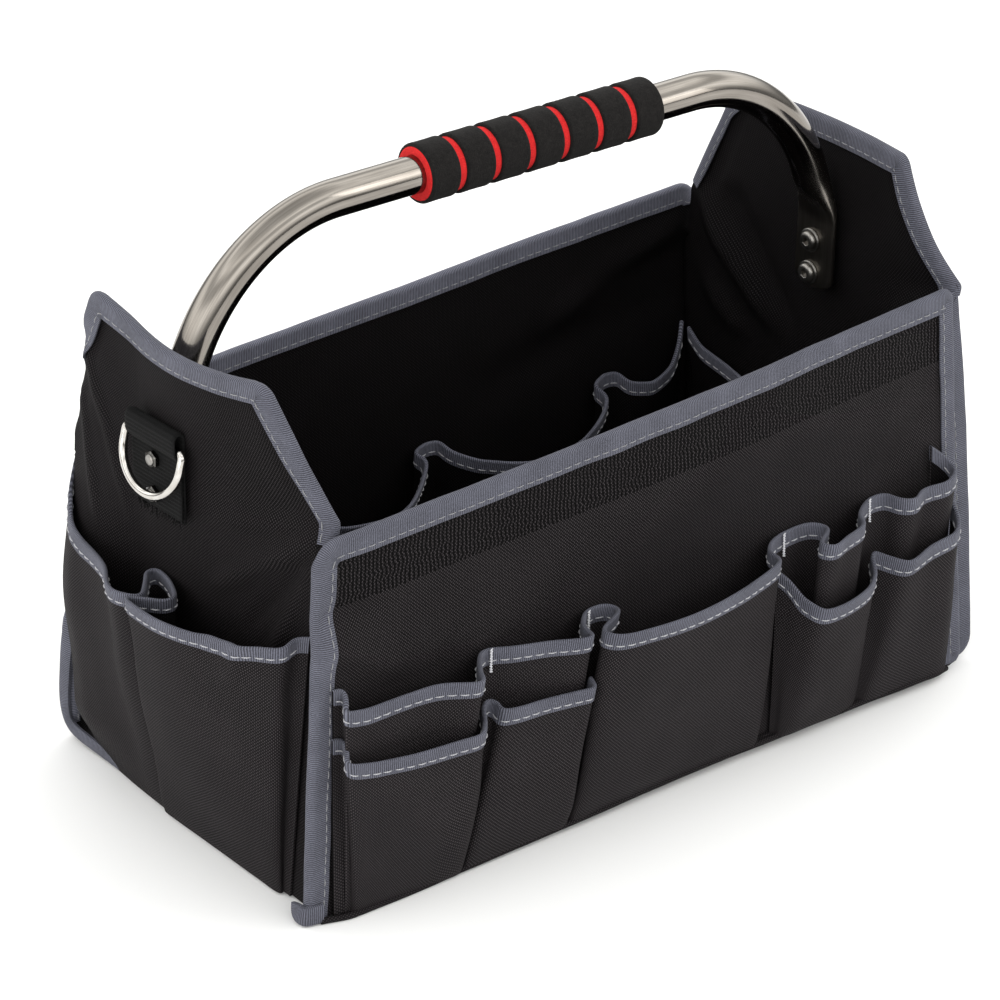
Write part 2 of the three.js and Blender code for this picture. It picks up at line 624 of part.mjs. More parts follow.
function stripBody(columns, wall) {
  const underTape = POCKET_TAPE_WIDTH - TAPE - GAP;
  const shares = [0, 0.25, 0.6, 1];
  return slabBody(columns.length, shares.length + 1, (i, j, side) => {
    const top = columns[i].top;
    const z = j < shares.length ? mix(FOOT, top - underTape, shares[j]) : top;
    return stripPoint(columns, i, z, side ? CLOTH / 2 : -CLOTH / 2, wall);
  });
}

function stripBindingBody(columns, wall) {
  const half = CLOTH / 2 + GAP + TAPE;
  const profile = foldedTape(POCKET_TAPE_WIDTH, POCKET_TAPE_WIDTH, half, half);
  return slabBody(columns.length, 4, (i, j, side) => {
    const [inward, offset] = (side ? profile.inside : profile.outside)[j];
    return stripPoint(columns, i, columns[i].top + TAPE + GAP - inward, offset, wall);
  }, 2);
}

function addPocket(name, bindingName, table, perFold, wall) {
  const columns = stripColumns(table, perFold);
  addMesh(name, stripBody(columns, wall), cloth);
  addMesh(bindingName, stripBindingBody(columns, wall), tape);
}
addPocket("front_upper_pocket", "front_upper_pocket_binding", FRONT_UPPER, 1, frontWall);
addPocket("front_lower_left_pocket", "front_lower_left_binding", FRONT_LOWER_LEFT, 1, frontWall);
addPocket("front_lower_right_pocket", "front_lower_right_binding", FRONT_LOWER_RIGHT, 1, frontWall);
addPocket("left_end_pocket", "left_end_pocket_binding", LEFT_END, 1, (a, z, out) => endWall(END.left, a, z, out));
addPocket("right_end_pocket", "right_end_pocket_binding", RIGHT_END, 1, (a, z, out) => endWall(END.right, a, z, out));
addPocket("inner_back_pocket", "inner_back_binding", INNER_BACK, 1, (a, z, out) => backWall(a, z, -out));
addPocket("inner_right_pocket", "inner_right_binding", INNER_RIGHT, 1, (a, z, out) => endWall(END.right, a, z, -out));

// Handle: round tube with a flattened, rounded plate at each end
function handleStations() {
  const half = [];
  const plate = (z, width) => half.push({ x: PLATE_X, z, width, thickness: PLATE_HALF_THICKNESS });
  plate(PLATE_BOTTOM, 6);
  plate(PLATE_BOTTOM + 2.4, 10.5);
  plate(PLATE_BOTTOM + 7, PLATE_HALF_WIDTH);
  const steps = 11;
  for (let s = 0; s <= steps; s += 1) {
    const angle = (Math.PI / 2) * s / steps;
    const z = s === 0 ? PLATE_TOP - 8 : BEND_FOOT + BEND_HEIGHT * Math.sin(angle);
    const round = smooth((z - PLATE_TOP + 8) / (ROUND_FROM - PLATE_TOP + 8));
    const bend = LEG_X - BEND_LENGTH + BEND_LENGTH * Math.cos(angle);
    half.push({
      x: mix(PLATE_X, bend, round),
      z,
      width: mix(PLATE_HALF_WIDTH, TUBE_RADIUS, round),
      thickness: mix(PLATE_HALF_THICKNESS, TUBE_RADIUS, round),
    });
  }
  const left = half.map((station) => ({ ...station, x: -station.x })).reverse();
  return [...half, ...left];
}

const handlePlace = new THREE.Matrix4().makeRotationZ(HANDLE_YAW).setPosition(HANDLE_X, HANDLE_Y, 0);

function handleBody() {
  const stations = handleStations();
  const sides = 12;
  const rings = stations.map((station, i) => {
    const before = stations[Math.max(0, i - 1)];
    const after = stations[Math.min(stations.length - 1, i + 1)];
    const flat = station.thickness < TUBE_RADIUS;
    const run = new THREE.Vector2(after.x - before.x, after.z - before.z).normalize();
    const across = flat ? new THREE.Vector2(1, 0) : new THREE.Vector2(run.y, -run.x);
    if (flat && station.x < 0) {
      across.set(-1, 0);
    }
    const power = mix(0.45, 1, (station.thickness - PLATE_HALF_THICKNESS) / (TUBE_RADIUS - PLATE_HALF_THICKNESS));
    return Array.from({ length: sides }, (_, k) => {
      const angle = 2 * Math.PI * k / sides;
      const c = Math.sign(Math.cos(angle)) * Math.abs(Math.cos(angle)) ** power;
      const s = Math.sign(Math.sin(angle)) * Math.abs(Math.sin(angle)) ** power;
      const out = c * station.thickness;
      return new THREE.Vector3(
        station.x + across.x * out,
        s * station.width,
        station.z + across.y * out,
      );
    });
  });
  const body = sweepBody(rings, false);
  body.applyMatrix4(handlePlace);
  return body;
}

// Lathed ring around the X axis, between two radii, with rounded outer edges
function ringAlongX(inner, outer, start, end, round, segments) {
  const profile = [
    new THREE.Vector2(inner, start),
    new THREE.Vector2(outer - round, start),
    new THREE.Vector2(outer, start + round),
    new THREE.Vector2(outer, end - round),
    new THREE.Vector2(outer - round, end),
    new THREE.Vector2(inner, end),
    new THREE.Vector2(inner, start),
  ];
  const ring = new THREE.LatheGeometry(profile, segments);
  ring.rotateZ(-Math.PI / 2);
  return ring;
}

// Places where the bolts cross the end walls, with the handle's plates and the ring webbing
const holes = { left: [], right: [] };
const bolts = [];
for (const [name, end] of Object.entries(END)) {
  for (const [level, z] of Object.entries(BOLT_HEIGHTS)) {
    const y = BOLT_Y[name];
    const plate = new THREE.Vector3(end.side * PLATE_X, 0, z).applyMatrix4(handlePlace);
    holes[name].push({ x: plate.x, y, z });
    bolts.push({ name: `${name}_${level}`, end, y, z, plateX: plate.x });
  }
}
addMesh("handle_tube", drill(handleBody(), [...holes.left, ...holes.right]), steel);
for (const [name, end] of Object.entries(END)) {
  addMesh(`${name}_end_panel`, drill(endWallBody(end), holes[name]), cloth);
  addMesh(`${name}_end_binding`, endBindingBody(end), tape);
}

// Foam grip
const gripHeight = new THREE.Matrix4().makeTranslation(0, 0, HANDLE_Z).premultiply(handlePlace);
const core = ringAlongX(TUBE_RADIUS + GAP, GRIP_CORE_RADIUS, GRIP_START, GRIP_END, 0.6, 16);
core.applyMatrix4(gripHeight);
addMesh("grip_core", core, redFoam);
const ringPitch = (GRIP_END - GRIP_START + GRIP_GROOVE) / GRIP_RINGS;
for (let k = 0; k < GRIP_RINGS; k += 1) {
  const start = GRIP_START + k * ringPitch;
  const trimStart = k === 0 ? 1 : 0;
  const trimEnd = k === GRIP_RINGS - 1 ? 1 : 0;
  const ring = ringAlongX(GRIP_CORE_RADIUS + GAP, GRIP_RADIUS, start + trimStart,
    start + ringPitch - GRIP_GROOVE - trimEnd, 0.7, 16);
  ring.applyMatrix4(gripHeight);
  addMesh(`grip_ring_${k + 1}`, ring, blackFoam);
}

// Webbing of a D-ring: flat behind, loosely over the bar, and flat again in front
const WEB_BACK = WALL / 2 + 0.9 + WEBBING / 2;
const WEB_FRONT = WEB_BACK + WEBBING + 0.3;
const LOOP_RADIUS = RING_WIRE + 0.4 + WEBBING / 2;
const BAR_OUT = WEB_BACK + LOOP_RADIUS;

const ringReach = (name, end) => endReach(end, RING_Y[name], RING_Z + 4);

function loopBody(name, end) {
  const reach = ringReach(name, end);
  const between = (BOLT_HEIGHTS.upper + BOLT_HEIGHTS.lower) / 2;
  const path = [[WEB_BACK, WEBBING_FOOT], [WEB_BACK, between], [WEB_BACK, RING_Z - 4]];
  for (let s = 0; s <= 7; s += 1) {
    const angle = Math.PI - (s < 6 ? Math.PI * s / 5 : Math.PI + (Math.PI / 4) * (s - 6));
    const z = s < 6 ? RING_Z + LOOP_RISE : RING_Z;
    path.push([BAR_OUT + LOOP_RADIUS * Math.cos(angle), z + LOOP_RADIUS * Math.sin(angle)]);
  }
  path.push([WEB_FRONT, RING_Z - 5.4], [WEB_FRONT, between], [WEB_FRONT, WEBBING_FOOT + 2]);
  const across = [-1, 0, 1];
  return slabBody(across.length, path.length, (i, j, side) => {
    const before = path[Math.max(0, j - 1)];
    const after = path[Math.min(path.length - 1, j + 1)];
    const run = new THREE.Vector2(after[0] - before[0], after[1] - before[1]).normalize();
    const offset = (side ? 0.5 : -0.5) * WEBBING;
    const out = path[j][0] - run.y * offset;
    const z = path[j][1] + run.x * offset;
    const y = RING_Y[name] + across[i] * WEBBING_HALF_WIDTH;
    return new THREE.Vector3(end.side * (reach + out) + TOP_SWAY, y, z);
  });
}

// D-ring: straight bar, short legs and a half round, swept with round wire
function dRingBody(name, end) {
  const reach = ringReach(name, end);
  const corner = 3;
  const leg = 5;
  const path = [];
  path.push([-RING_HALF_WIDTH + corner, 0], [0, 0], [RING_HALF_WIDTH - corner, 0]);
  for (let s = 1; s <= 3; s += 1) {
    const angle = (Math.PI / 2) * (1 - s / 3);
    path.push([RING_HALF_WIDTH - corner + corner * Math.cos(angle), corner * (Math.sin(angle) - 1)]);
  }
  for (let s = 0; s <= 12; s += 1) {
    const angle = -Math.PI * s / 12;
    path.push([RING_HALF_WIDTH * Math.cos(angle), -corner - leg + (RING_DROP - corner - leg) * Math.sin(angle)]);
  }
  for (let s = 0; s < 3; s += 1) {
    const angle = Math.PI - (Math.PI / 2) * (s / 3);
    path.push([-RING_HALF_WIDTH + corner + corner * Math.cos(angle), corner * (Math.sin(angle) - 1)]);
  }
  const sides = 6;
  const rings = path.map((p, i) => {
    const before = path[(i + path.length - 1) % path.length];
    const after = path[(i + 1) % path.length];
    const run = new THREE.Vector2(after[0] - before[0], after[1] - before[1]).normalize();
    return Array.from({ length: sides }, (_, k) => {
      const angle = 2 * Math.PI * k / sides;
      const inPlane = RING_WIRE * Math.cos(angle);
      return new THREE.Vector3(RING_WIRE * Math.sin(angle), p[0] - run.y * inPlane, p[1] + run.x * inPlane);
    });
  });
  const body = sweepBody(rings, true);
  body.rotateY(end.side * -RING_TILT);
  body.translate(end.side * (reach + BAR_OUT) + TOP_SWAY, RING_Y[name], RING_Z);
  return body;
}

for (const [name, end] of Object.entries(END)) {
  addMesh(`${name}_ring_loop`, drill(loopBody(name, end), holes[name]), webbing);
  addMesh(`${name}_d_ring`, dRingBody(name, end), chrome);
}

// Bolts with washers inside the bag and nuts over the webbing outside
for (const bolt of bolts) {
  const side = bolt.end.side;
  const name = side < 0 ? "left" : "right";
  const inside = Math.abs(bolt.plateX) - PLATE_HALF_THICKNESS - GAP;
  const webFace = ringReach(name, bolt.end) + side * TOP_SWAY + WEB_FRONT + WEBBING / 2 + GAP;
  const head = inside - WASHER_THICKNESS - GAP;
  const end = webFace + NUT_HEIGHT + 0.8;
  const profile = [
    new THREE.Vector2(0, head - HEAD_HEIGHT),
    new THREE.Vector2(HEAD_RADIUS * 0.55, head - HEAD_HEIGHT),
    new THREE.Vector2(HEAD_RADIUS * 0.86, head - HEAD_HEIGHT * 0.72),
    new THREE.Vector2(HEAD_RADIUS, head - HEAD_HEIGHT * 0.25),
    new THREE.Vector2(HEAD_RADIUS, head),
    new THREE.Vector2(SHANK_RADIUS, head),
    new THREE.Vector2(SHANK_RADIUS, end - 0.5),
    new THREE.Vector2(SHANK_RADIUS - 0.5, end),
    new THREE.Vector2(0, end),
  ];
  const pieces = {
    bolt: new THREE.LatheGeometry(profile, 12).rotateZ(-Math.PI / 2),
    washer: ringAlongX(HOLE_RADIUS, WASHER_RADIUS, inside - WASHER_THICKNESS, inside, 0.2, 12),
    nut: ringAlongX(HOLE_RADIUS, NUT_RADIUS, webFace, webFace + NUT_HEIGHT, 0.5, 8),
  };
  for (const [kind, body] of Object.entries(pieces)) {
    if (side < 0) {
      body.rotateZ(Math.PI);
    }
    body.translate(0, bolt.y, bolt.z);
    addMesh(`${bolt.name}_${kind}`, body, kind === "washer" ? chrome : steel);
  }
}

export default bag;
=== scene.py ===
"""Looks of an open-topped tool bag: woven cloth, bound edges, pleated pockets and a bolted tube handle.

The shapes are worked out in millimetres and become metres when a mesh is made. The main sizes are those of
the bag's construction. The folds, bulges and creases of the cloth follow the real bag more closely than its
plain solids do. The front of the bag faces -Y and +Z is up.
"""

import math

import bpy
import numpy as np
from mathutils import Matrix, Vector


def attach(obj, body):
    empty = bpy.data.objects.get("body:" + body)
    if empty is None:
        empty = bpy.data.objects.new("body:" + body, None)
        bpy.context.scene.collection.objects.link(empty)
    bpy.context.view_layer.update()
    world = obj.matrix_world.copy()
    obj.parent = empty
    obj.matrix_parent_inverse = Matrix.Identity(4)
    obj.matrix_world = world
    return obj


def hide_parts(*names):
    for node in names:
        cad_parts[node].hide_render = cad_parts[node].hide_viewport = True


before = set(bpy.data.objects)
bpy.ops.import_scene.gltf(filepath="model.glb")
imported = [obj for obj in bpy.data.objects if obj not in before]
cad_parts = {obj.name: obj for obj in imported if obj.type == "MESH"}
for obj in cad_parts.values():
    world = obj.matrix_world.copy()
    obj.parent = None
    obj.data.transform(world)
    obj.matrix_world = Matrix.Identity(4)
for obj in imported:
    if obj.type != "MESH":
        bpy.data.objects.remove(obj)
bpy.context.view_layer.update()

MM = 0.001

# Camera: 1000 x 1000 frame, focal length in pixels of that frame
FRAME_PIXELS = 1000
FOCAL_PIXELS = 4200
CAMERA_AZIMUTH = math.radians(-41.53)
CAMERA_ELEVATION = math.radians(27.92)
CAMERA_ROLL = math.radians(1.27)
CAMERA_DISTANCE = 2120
CAMERA_TARGET = (-15.5, 0, 124.17)
SENSOR = 36

# Bag body
WALL_TOP = 208
TOP_RISE = 4.5
END_TOP = 276
END_TOP_HALF = 62
SLOPE_FOOT_HALF = 89.6
BASE_HALF_LENGTH = 210
TOP_HALF_LENGTH = 206.5
BASE_HALF_DEPTH = 106.2
TOP_HALF_DEPTH = 93.2
FRONT_BOW = 4
BACK_DROP = 2
FLANGE = 9
WALL = 2.6
FLANGE_CLOTH = 1.5
EDGE_CLOTH = 1.0
BASE_PLATE = 4
FOOT = 1.4
GAP = 0.3
RIGHT_EXTRA = 4.5
SEAM_HINGE = 193
SEAM_BEND = 4
SEAM_FOLD = math.radians(150)
BASE_TWIST = math.radians(-3.5)
TOP_SWAY = -3.5
FRONT_LIFT = 5.2
CORNER_DROP = 4.5
LIFT_TOP = 70

# End walls: bulge at mid width, lean above the front wall, flare at the front and back edges near the top
# of the corner seams, sag of the top edge between its shoulders, tilt and rise of that edge, and a low belly
# with its place across and its height
END = {
    "left": {"side": -1, "bulge": 16, "lean": 8, "front_flare": -7, "back_flare": 0, "sag": 6.5, "tilt": 4.5,
             "rise": 1.5, "belly": 6, "belly_y": 76, "belly_z": 110},
    "right": {"side": 1, "bulge": 10, "lean": 5, "front_flare": 25, "back_flare": 4, "sag": 0, "tilt": 0,
              "rise": 0, "belly": 18, "belly_y": -80, "belly_z": 122},
}
BACK_BULGE = 14
BULGE_HALF_WIDTH = 95
BELLY_HALF_WIDTH = 42
BELLY_HALF_HEIGHT = 38

# Binding tape
TAPE = 0.85
TAPE_WIDTH = 11.5
POCKET_TAPE_WIDTH = 8.5
POCKET_TAPE = 0.5
POCKET_GAP = 0.15
CORNER_RADIUS = 14
SHOULDER_RADIUS = 8
TAPE_HALF = WALL / 2 + GAP + TAPE
SEAM_TAPE_HALF = WALL / 2 + GAP + FLANGE_CLOTH + GAP + TAPE
SEAM_INNER_WIDTH = 5.5
SEAM_TAPE_FOOT = 11
FOOT_RADIUS = 8
END_TAPE_HALF = TAPE_HALF + 0.5

# Pocket cloth
CLOTH = 1.0
POCKET_SWELL = 0.75

# Handle
TUBE_RADIUS = 9.5
HANDLE_X = -7
HANDLE_Y = 2.5
HANDLE_YAW = math.radians(-2.4)
HANDLE_Z = 316
LEG_X = 200
PLATE_X = 203.3
PLATE_HALF_WIDTH = 14
PLATE_HALF_THICKNESS = 2
PLATE_BOTTOM = 184
PLATE_TOP = 231
ROUND_FROM = 252
PRESSED_LENGTH = 42
PRESSED_FADE = 50
BEND_FOOT = 234
BEND_LENGTH = 90
BEND_HEIGHT = HANDLE_Z - BEND_FOOT
PLATE_BLEND = 8
LEG_ANGLE = 0.1

# Foam grip
GRIP_START = -63
GRIP_END = 82
GRIP_RINGS = 7
GRIP_GROOVE = 3.8
GRIP_RADIUS = 15
GRIP_CORE_RADIUS = 13.4

# Bolts
BOLT_HEIGHTS = {"upper": 210.5, "lower": 192}
BOLT_Y = {"left": 11, "right": -4.3}
SHANK_RADIUS = 2.9
HOLE_RADIUS = 3.2
HEAD_RADIUS = 5.25
HEAD_HEIGHT = 2.2
SOCKET_RADIUS = 1.9
SOCKET_DEPTH = 1.8
WASHER_RADIUS = 6.5
WASHER_THICKNESS = 1.2
NUT_RADIUS = 4.2
NUT_HEIGHT = 2.6

# D-ring and its webbing; the wire is drawn a little fuller than the one that the webbing is folded for
WEBBING = 1.5
WEBBING_HALF_WIDTH = 19
WEBBING_FOOT = 183
LOOP_RISE = 6
RING_Y = {"left": 10, "right": 0}
RING_Z = 221.5
RING_CORNER = 3
RING_LEG = 5
RING_WIRE = 1.75
RING_FULL_WIRE = 2.05
RING_HALF_WIDTH = 21.75
RING_DROP = 27.5
RING_TILT = math.radians(14)
WEB_BACK = WALL / 2 + 0.9 + WEBBING / 2
WEB_FRONT = WEB_BACK + WEBBING + 0.3
LOOP_RADIUS = RING_WIRE + 0.4 + WEBBING / 2
BAR_OUT = WEB_BACK + LOOP_RADIUS

# Thread, and the share of the tape's width where it is sewn
STITCH_PITCH = 5.9
STITCH_DASH = 4.6
THREAD_RADIUS = 0.36
TAPE_THREAD_RADIUS = 0.3
TAPE_SEAM = 0.78
POCKET_SEAM = 0.74
YARN_RADIUS = 0.17

# Weaves, and the band of coarser cloth under the front wall's top edge, in distances below that edge
CLOTH_PITCH = 0.9
WEBBING_PITCH = 0.55
TAPE_RIB = 1.05
BAND_TOP = 12
BAND_FOOT = 37
BAND_PITCH = 2.4
CLOTH_TINT = (1.05, 0.93, 0.99)

# Creases of the walls, a row for each: where it starts and ends on the wall, its half width and its height
CREASES = {
    "front": (
        ((-204, 166), (-166, 158), 6, -2.6),
        ((-204, 150), (-150, 122), 7, 2.8),
        ((40, 176), (190, 150), 14, 1.5),
        ((-60, 150), (60, 168), 16, 1.4),
        ((190, 150), (150, 120), 8, -1.6),
    ),
    "back": (
        ((198, 190), (90, 150), 10, -4.0),
        ((198, 152), (40, 124), 15, 3.4),
        ((198, 170), (120, 166), 9, 2.6),
        ((-196, 190), (-120, 140), 10, 1.6),
    ),
    "left": (
        ((-92, 204), (-20, 150), 5, 3.2),
        ((-92, 202), (-44, 136), 4, -2.4),
        ((-92, 198), (-58, 120), 5, 3.2),
        ((-88, 206), (-15, 188), 5, 1.5),
        ((80, 238), (60, 150), 3, 2.2),
        ((70, 252), (40, 160), 3, 1.8),
    ),
    "right": (
        ((88, 216), (25, 143), 7, -6.5),
        ((60, 216), (16, 149), 9, 3.5),
        ((82, 162), (48, 134), 7, -4.0),
        ((-90, 204), (-40, 150), 6, -1.5),
    ),
}

# Pocket strips, a row for each fold: place along the wall and outward at the bound top edge, height of
# that edge, then place along and outward at the bottom seam
FRONT_UPPER = (
    (-199, 3.8, 127, -194, 2.2),
    (-193, 4.4, 126, -189, 2.4),
    (-195.5, 10, 122, -188, 3.6),
    (-198, 12, 119.5, -190, 4.2),
    (-186, 13, 117, -182, 4.2),
    (-146, 16, 117, -150, 4),
    (-127, 26, 117, -130, 4.2),
    (-121, 17, 117, -127, 2.6),
    (-109, 4.2, 117, -112, 2.2),
    (-95, 10, 117, -98, 2.2),
    (-79, 16, 117, -84, 2.2),
    (-58, 25, 117, -63, 3.7),
    (-55, 15, 117, -60, 2.2),
    (-44, 4.2, 117, -56, 2.2),
    (-33, 5, 117, -51, 2.2),
    (-31, 12, 117, -50, 3.4),
    (-50, 24, 117, -55, 5.2),
    (-47, 32, 117, -54, 7.2),
    (-28, 37, 117, -34, 7),
    (2, 38, 117, 0, 6.6),
    (42, 32, 117, 38, 6.6),
    (66, 23, 117, 65, 7),
    (67, 15, 117, 67, 3.7),
    (74, 8, 117, 71, 2.2),
    (86, 4.2, 117, 82, 2.2),
    (104, 5, 117, 96, 2.2),
    (108, 13, 117, 98, 3.7),
    (94, 24, 117, 88, 5.2),
    (97, 30, 117, 90, 6.6),
    (109, 27, 117, 104, 5),
    (125, 22, 117, 124, 4.6),
    (131, 13, 117, 128, 2.4),
    (147, 4.2, 117, 142, 2.2),
    (156, 6, 117, 150, 2.2),
    (159, 15, 117, 153, 3.7),
    (165, 19, 117, 160, 3.7),
    (176, 14, 117, 172, 3.7),
    (191, 17, 118, 188, 3.7),
    (200, 13, 120, 194, 3),
    (201.5, 8, 122, 195, 2.4),
    (196, 4.6, 128, 190, 2.2),
    (191, 4, 132, 188, 2.2),
)
FRONT_LOWER_LEFT = (
    (-199.5, 4.8, 101, -196, 3.6),
    (-193.5, 5.4, 100, -187, 4),
    (-195, 10.5, 97, -186, 5.2),
    (-199, 16.5, 94, -185, 7),
    (-186, 19.5, 91, -178, 7.2),
    (-164, 24, 90, -164, 7.4),
    (-140, 27, 90, -144, 8),
    (-128, 28, 90, -125, 8.4),
    (-121.5, 22, 91, -122.6, 6.6),
    (-114, 11.5, 92.5, -121.9, 4.8),
    (-109, 9, 93, -121, 4.2),
    (-106.5, 12, 92, -120.2, 5),
    (-107.5, 18, 91, -120.6, 7.4),
    (-100, 20.5, 90.5, -112, 7.6),
    (-84, 22, 90, -92, 7.6),
    (-66, 26, 90, -70, 7.8),
    (-57.5, 27.5, 90, -60, 8),
    (-54.5, 20.5, 91, -57, 5),
)
FRONT_LOWER_RIGHT = (
    (77, 9.5, 101, 77, 3.8),
    (81, 14, 97, 79, 5),
    (84, 22, 89, 80, 7),
    (88, 33, 86, 84, 8.6),
    (102, 34, 85, 98, 8.6),
    (123, 29, 85, 120, 8),
    (135, 21, 86, 131, 6.4),
    (144, 10, 91, 134, 4.6),
    (148, 14, 89, 136, 4.8),
    (156, 24.5, 87, 139, 7.2),
    (176, 21, 88.5, 168, 7.2),
    (193, 21, 91, 190, 7),
    (201, 14, 94, 197, 5.6),
    (203.5, 7, 99, 197, 4.2),
)
LEFT_END = (
    (90, 3, 182, 86, 2.4),
    (88, 2.8, 176, 87, 3.4),
    (84, 3.4, 161, 83, 4.4),
    (77, 6, 150, 76, 5.2),
    (60, 10, 146, 62, 6.2),
    (35, 22, 145.5, 44, 7),
    (14, 32, 145.5, 28, 7.2),
    (5, 29.5, 145.5, 18, 7.2),
    (0, 24.6, 145.5, 13, 6.8),
    (8.5, 15.5, 145.5, 15.5, 5.4),
    (16.5, 8.5, 145.5, 17.5, 4.8),
    (15.5, 4.4, 145.5, 17, 4.4),
    (6, 4.6, 145.5, 14.5, 4.4),
    (-4.5, 8.6, 145.5, 12, 4.8),
    (-11.5, 13.5, 145.5, 11, 5.6),
    (-11.5, 18.6, 145.5, 11.5, 6.8),
    (-4.4, 24.6, 145.5, 13.5, 8.2),
    (2, 31, 145.5, 16, 8.8),
    (-12, 33.5, 145.5, 4, 8.6),
    (-28, 34.3, 145.5, -10, 8),
    (-47, 32, 145.5, -34, 7),
    (-69, 25.5, 146, -60, 6),
    (-84, 17, 147, -78, 4.6),
    (-83, 8, 149, -77, 2.6),
    (-88, 4.2, 150, -83, 2.2),
)
RIGHT_END = (
    (88, 4.4, 150, 82, 2.4),
    (80, 12, 147, 78, 3.6),
    (52, 24, 145, 54, 4.2),
    (18, 30, 145, 24, 5.2),
    (-18, 32, 145, -16, 5.2),
    (-52, 29, 145, -48, 5.2),
    (-78, 20, 147, -72, 5),
    (-90, 12, 150, -82, 4.2),
    (-91, 6, 152, -84, 2.4),
)
INNER_BACK = (
    (-182, 4, 112, -180, 2.2),
    (-150, 30, 102, -150, 2.4),
    (-124, 25, 103, -126, 2.4),
    (-119, 15, 105, -120, 2.4),
    (-121, 8, 107, -118, 2.2),
    (-113, 4.2, 108, -112, 2.2),
    (-104, 5, 107, -107, 2.2),
    (-103, 12, 105, -106, 2.4),
    (-94, 19, 103, -100, 2.4),
    (-66, 42, 100, -70, 2.6),
    (-33, 46, 100, -38, 2.6),
    (0, 22, 101, -6, 2.4),
    (7, 14, 105, 2, 2.2),
    (5, 8, 107, 6, 2.2),
    (14, 4.2, 108, 13, 2.2),
    (23, 5, 107, 20, 2.2),
    (25, 12, 104, 23, 2.2),
    (36, 24, 99, 36, 2.4),
    (58, 40, 98, 56, 2.6),
    (94, 38, 98, 92, 2.6),
    (124, 22, 102, 122, 2.4),
    (131, 14, 106, 128, 2.2),
    (129, 8, 109, 132, 2.2),
    (138, 4.2, 112, 138, 2.2),
    (147, 5, 111, 146, 2.2),
    (150, 12, 107, 152, 2.4),
    (162, 17, 105, 162, 2.4),
    (178, 14, 109, 176, 2.4),
    (189, 8, 119, 184, 2.2),
    (194, 4.4, 128, 188, 2.2),
)
INNER_RIGHT = (
    (88, 4.2, 127, 82, 2.2),
    (76, 7, 121, 70, 2.4),
    (58, 9, 118, 56, 2.4),
    (22, 16, 114, 20, 2.4),
    (-22, 16, 114, -20, 2.4),
    (-58, 9, 118, -56, 2.4),
    (-80, 4.2, 126, -78, 2.2),
)


# Number helpers

def mix(a, b, t):
    return a + (b - a) * t


def smooth(t):
    t = np.clip(t, 0, 1)
    return t * t * (3 - 2 * t)


def ease(value, start, end):
    """Smooth step from 0 at start to 1 at end, either of which may be the larger."""
    return smooth((value - start) / (end - start))


def unit(v):
    return v / np.maximum(np.linalg.norm(v, axis=-1, keepdims=True), 1e-9)


def lattice(ix, iy, seed):
    value = np.sin(ix * 127.1 + iy * 311.7 + seed * 74.7) * 43758.5453
    return value - np.floor(value)


def wander(x, y, size, seed):
    """Smooth noise from -1 to 1 whose features are about size across."""
    x, y = np.broadcast_arrays(np.asarray(x, float) / size, np.asarray(y, float) / size)
    ix, iy = np.floor(x), np.floor(y)
    fx, fy = smooth(x - ix), smooth(y - iy)
    low = mix(lattice(ix, iy, seed), lattice(ix + 1, iy, seed), fx)
    high = mix(lattice(ix, iy + 1, seed), lattice(ix + 1, iy + 1, seed), fx)
    return mix(low, high, fy) * 2 - 1


def crease(a, b, start, end, width, height):
    """Soft ridge from start to end across a wall's own plane, fading out at both ends."""
    start, end = np.array(start, float), np.array(end, float)
    run = end - start
    length = np.hypot(*run)
    t = ((a - start[0]) * run[0] + (b - start[1]) * run[1]) / length ** 2
    aside = ((a - start[0]) * run[1] - (b - start[1]) * run[0]) / length
    fade = smooth(t * 5 + 0.5) * smooth((1 - t) * 3 + 0.2)
    return height * fade * np.exp(-(aside / width) ** 2)


def creased(wall, a, b):
    return sum(crease(a, b, *row) for row in CREASES[wall])


def run_length(points):
    steps = np.linalg.norm(np.diff(points, axis=0), axis=1)
    return np.concatenate([[0], np.cumsum(steps)])


def resample(points, at, known):
    return np.stack([np.interp(at, known, points[:, k]) for k in range(points.shape[1])], axis=-1)


def paired(u, v):
    """Two grids of numbers side by side, as a piece's texture places."""
    return np.stack(np.broadcast_arrays(u, v), axis=-1)


def blurred(values, sigma):
    """Gaussian blur down the first axis, with the ends held in place."""
    reach = max(1, int(3 * sigma))
    weights = np.exp(-0.5 * (np.arange(-reach, reach + 1) / sigma) ** 2)
    weights /= weights.sum()
    first = 2 * values[:1] - values[reach:0:-1]
    last = 2 * values[-1:] - values[-2:-reach - 2:-1]
    padded = np.concatenate([first, values, last])
    return np.stack([np.convolve(padded[:, k], weights, "valid") for k in range(values.shape[1])], axis=-1)


# The walls of the bag

def settle(x, y, z):
    """The soft bag turns and sways a little from the floor to the top of its front wall, and its front edge
    lifts off the floor, less so at the right corner."""
    x, y, z = np.broadcast_arrays(*(np.asarray(value, float) for value in (x, y, z)))
    low = np.clip(1 - z / WALL_TOP, 0, 1)
    turn = BASE_TWIST * low
    lift = FRONT_LIFT * ease(x, -150, 30) - CORNER_DROP * ease(x, 180, 220)
    lift = lift * ease(y, -40, -100) * np.clip(1 - z / LIFT_TOP, 0, 1) ** 2
    return np.stack([
        x * np.cos(turn) - y * np.sin(turn) + TOP_SWAY * (1 - low),
        x * np.sin(turn) + y * np.cos(turn),
        z + lift,
    ], axis=-1)


def edge_half_length(z):
    return mix(BASE_HALF_LENGTH, TOP_HALF_LENGTH, z / WALL_TOP)


def wall_top(x):
    return WALL_TOP + TOP_RISE * x / TOP_HALF_LENGTH


def half_depth(z):
    return mix(BASE_HALF_DEPTH, TOP_HALF_DEPTH, z / WALL_TOP)


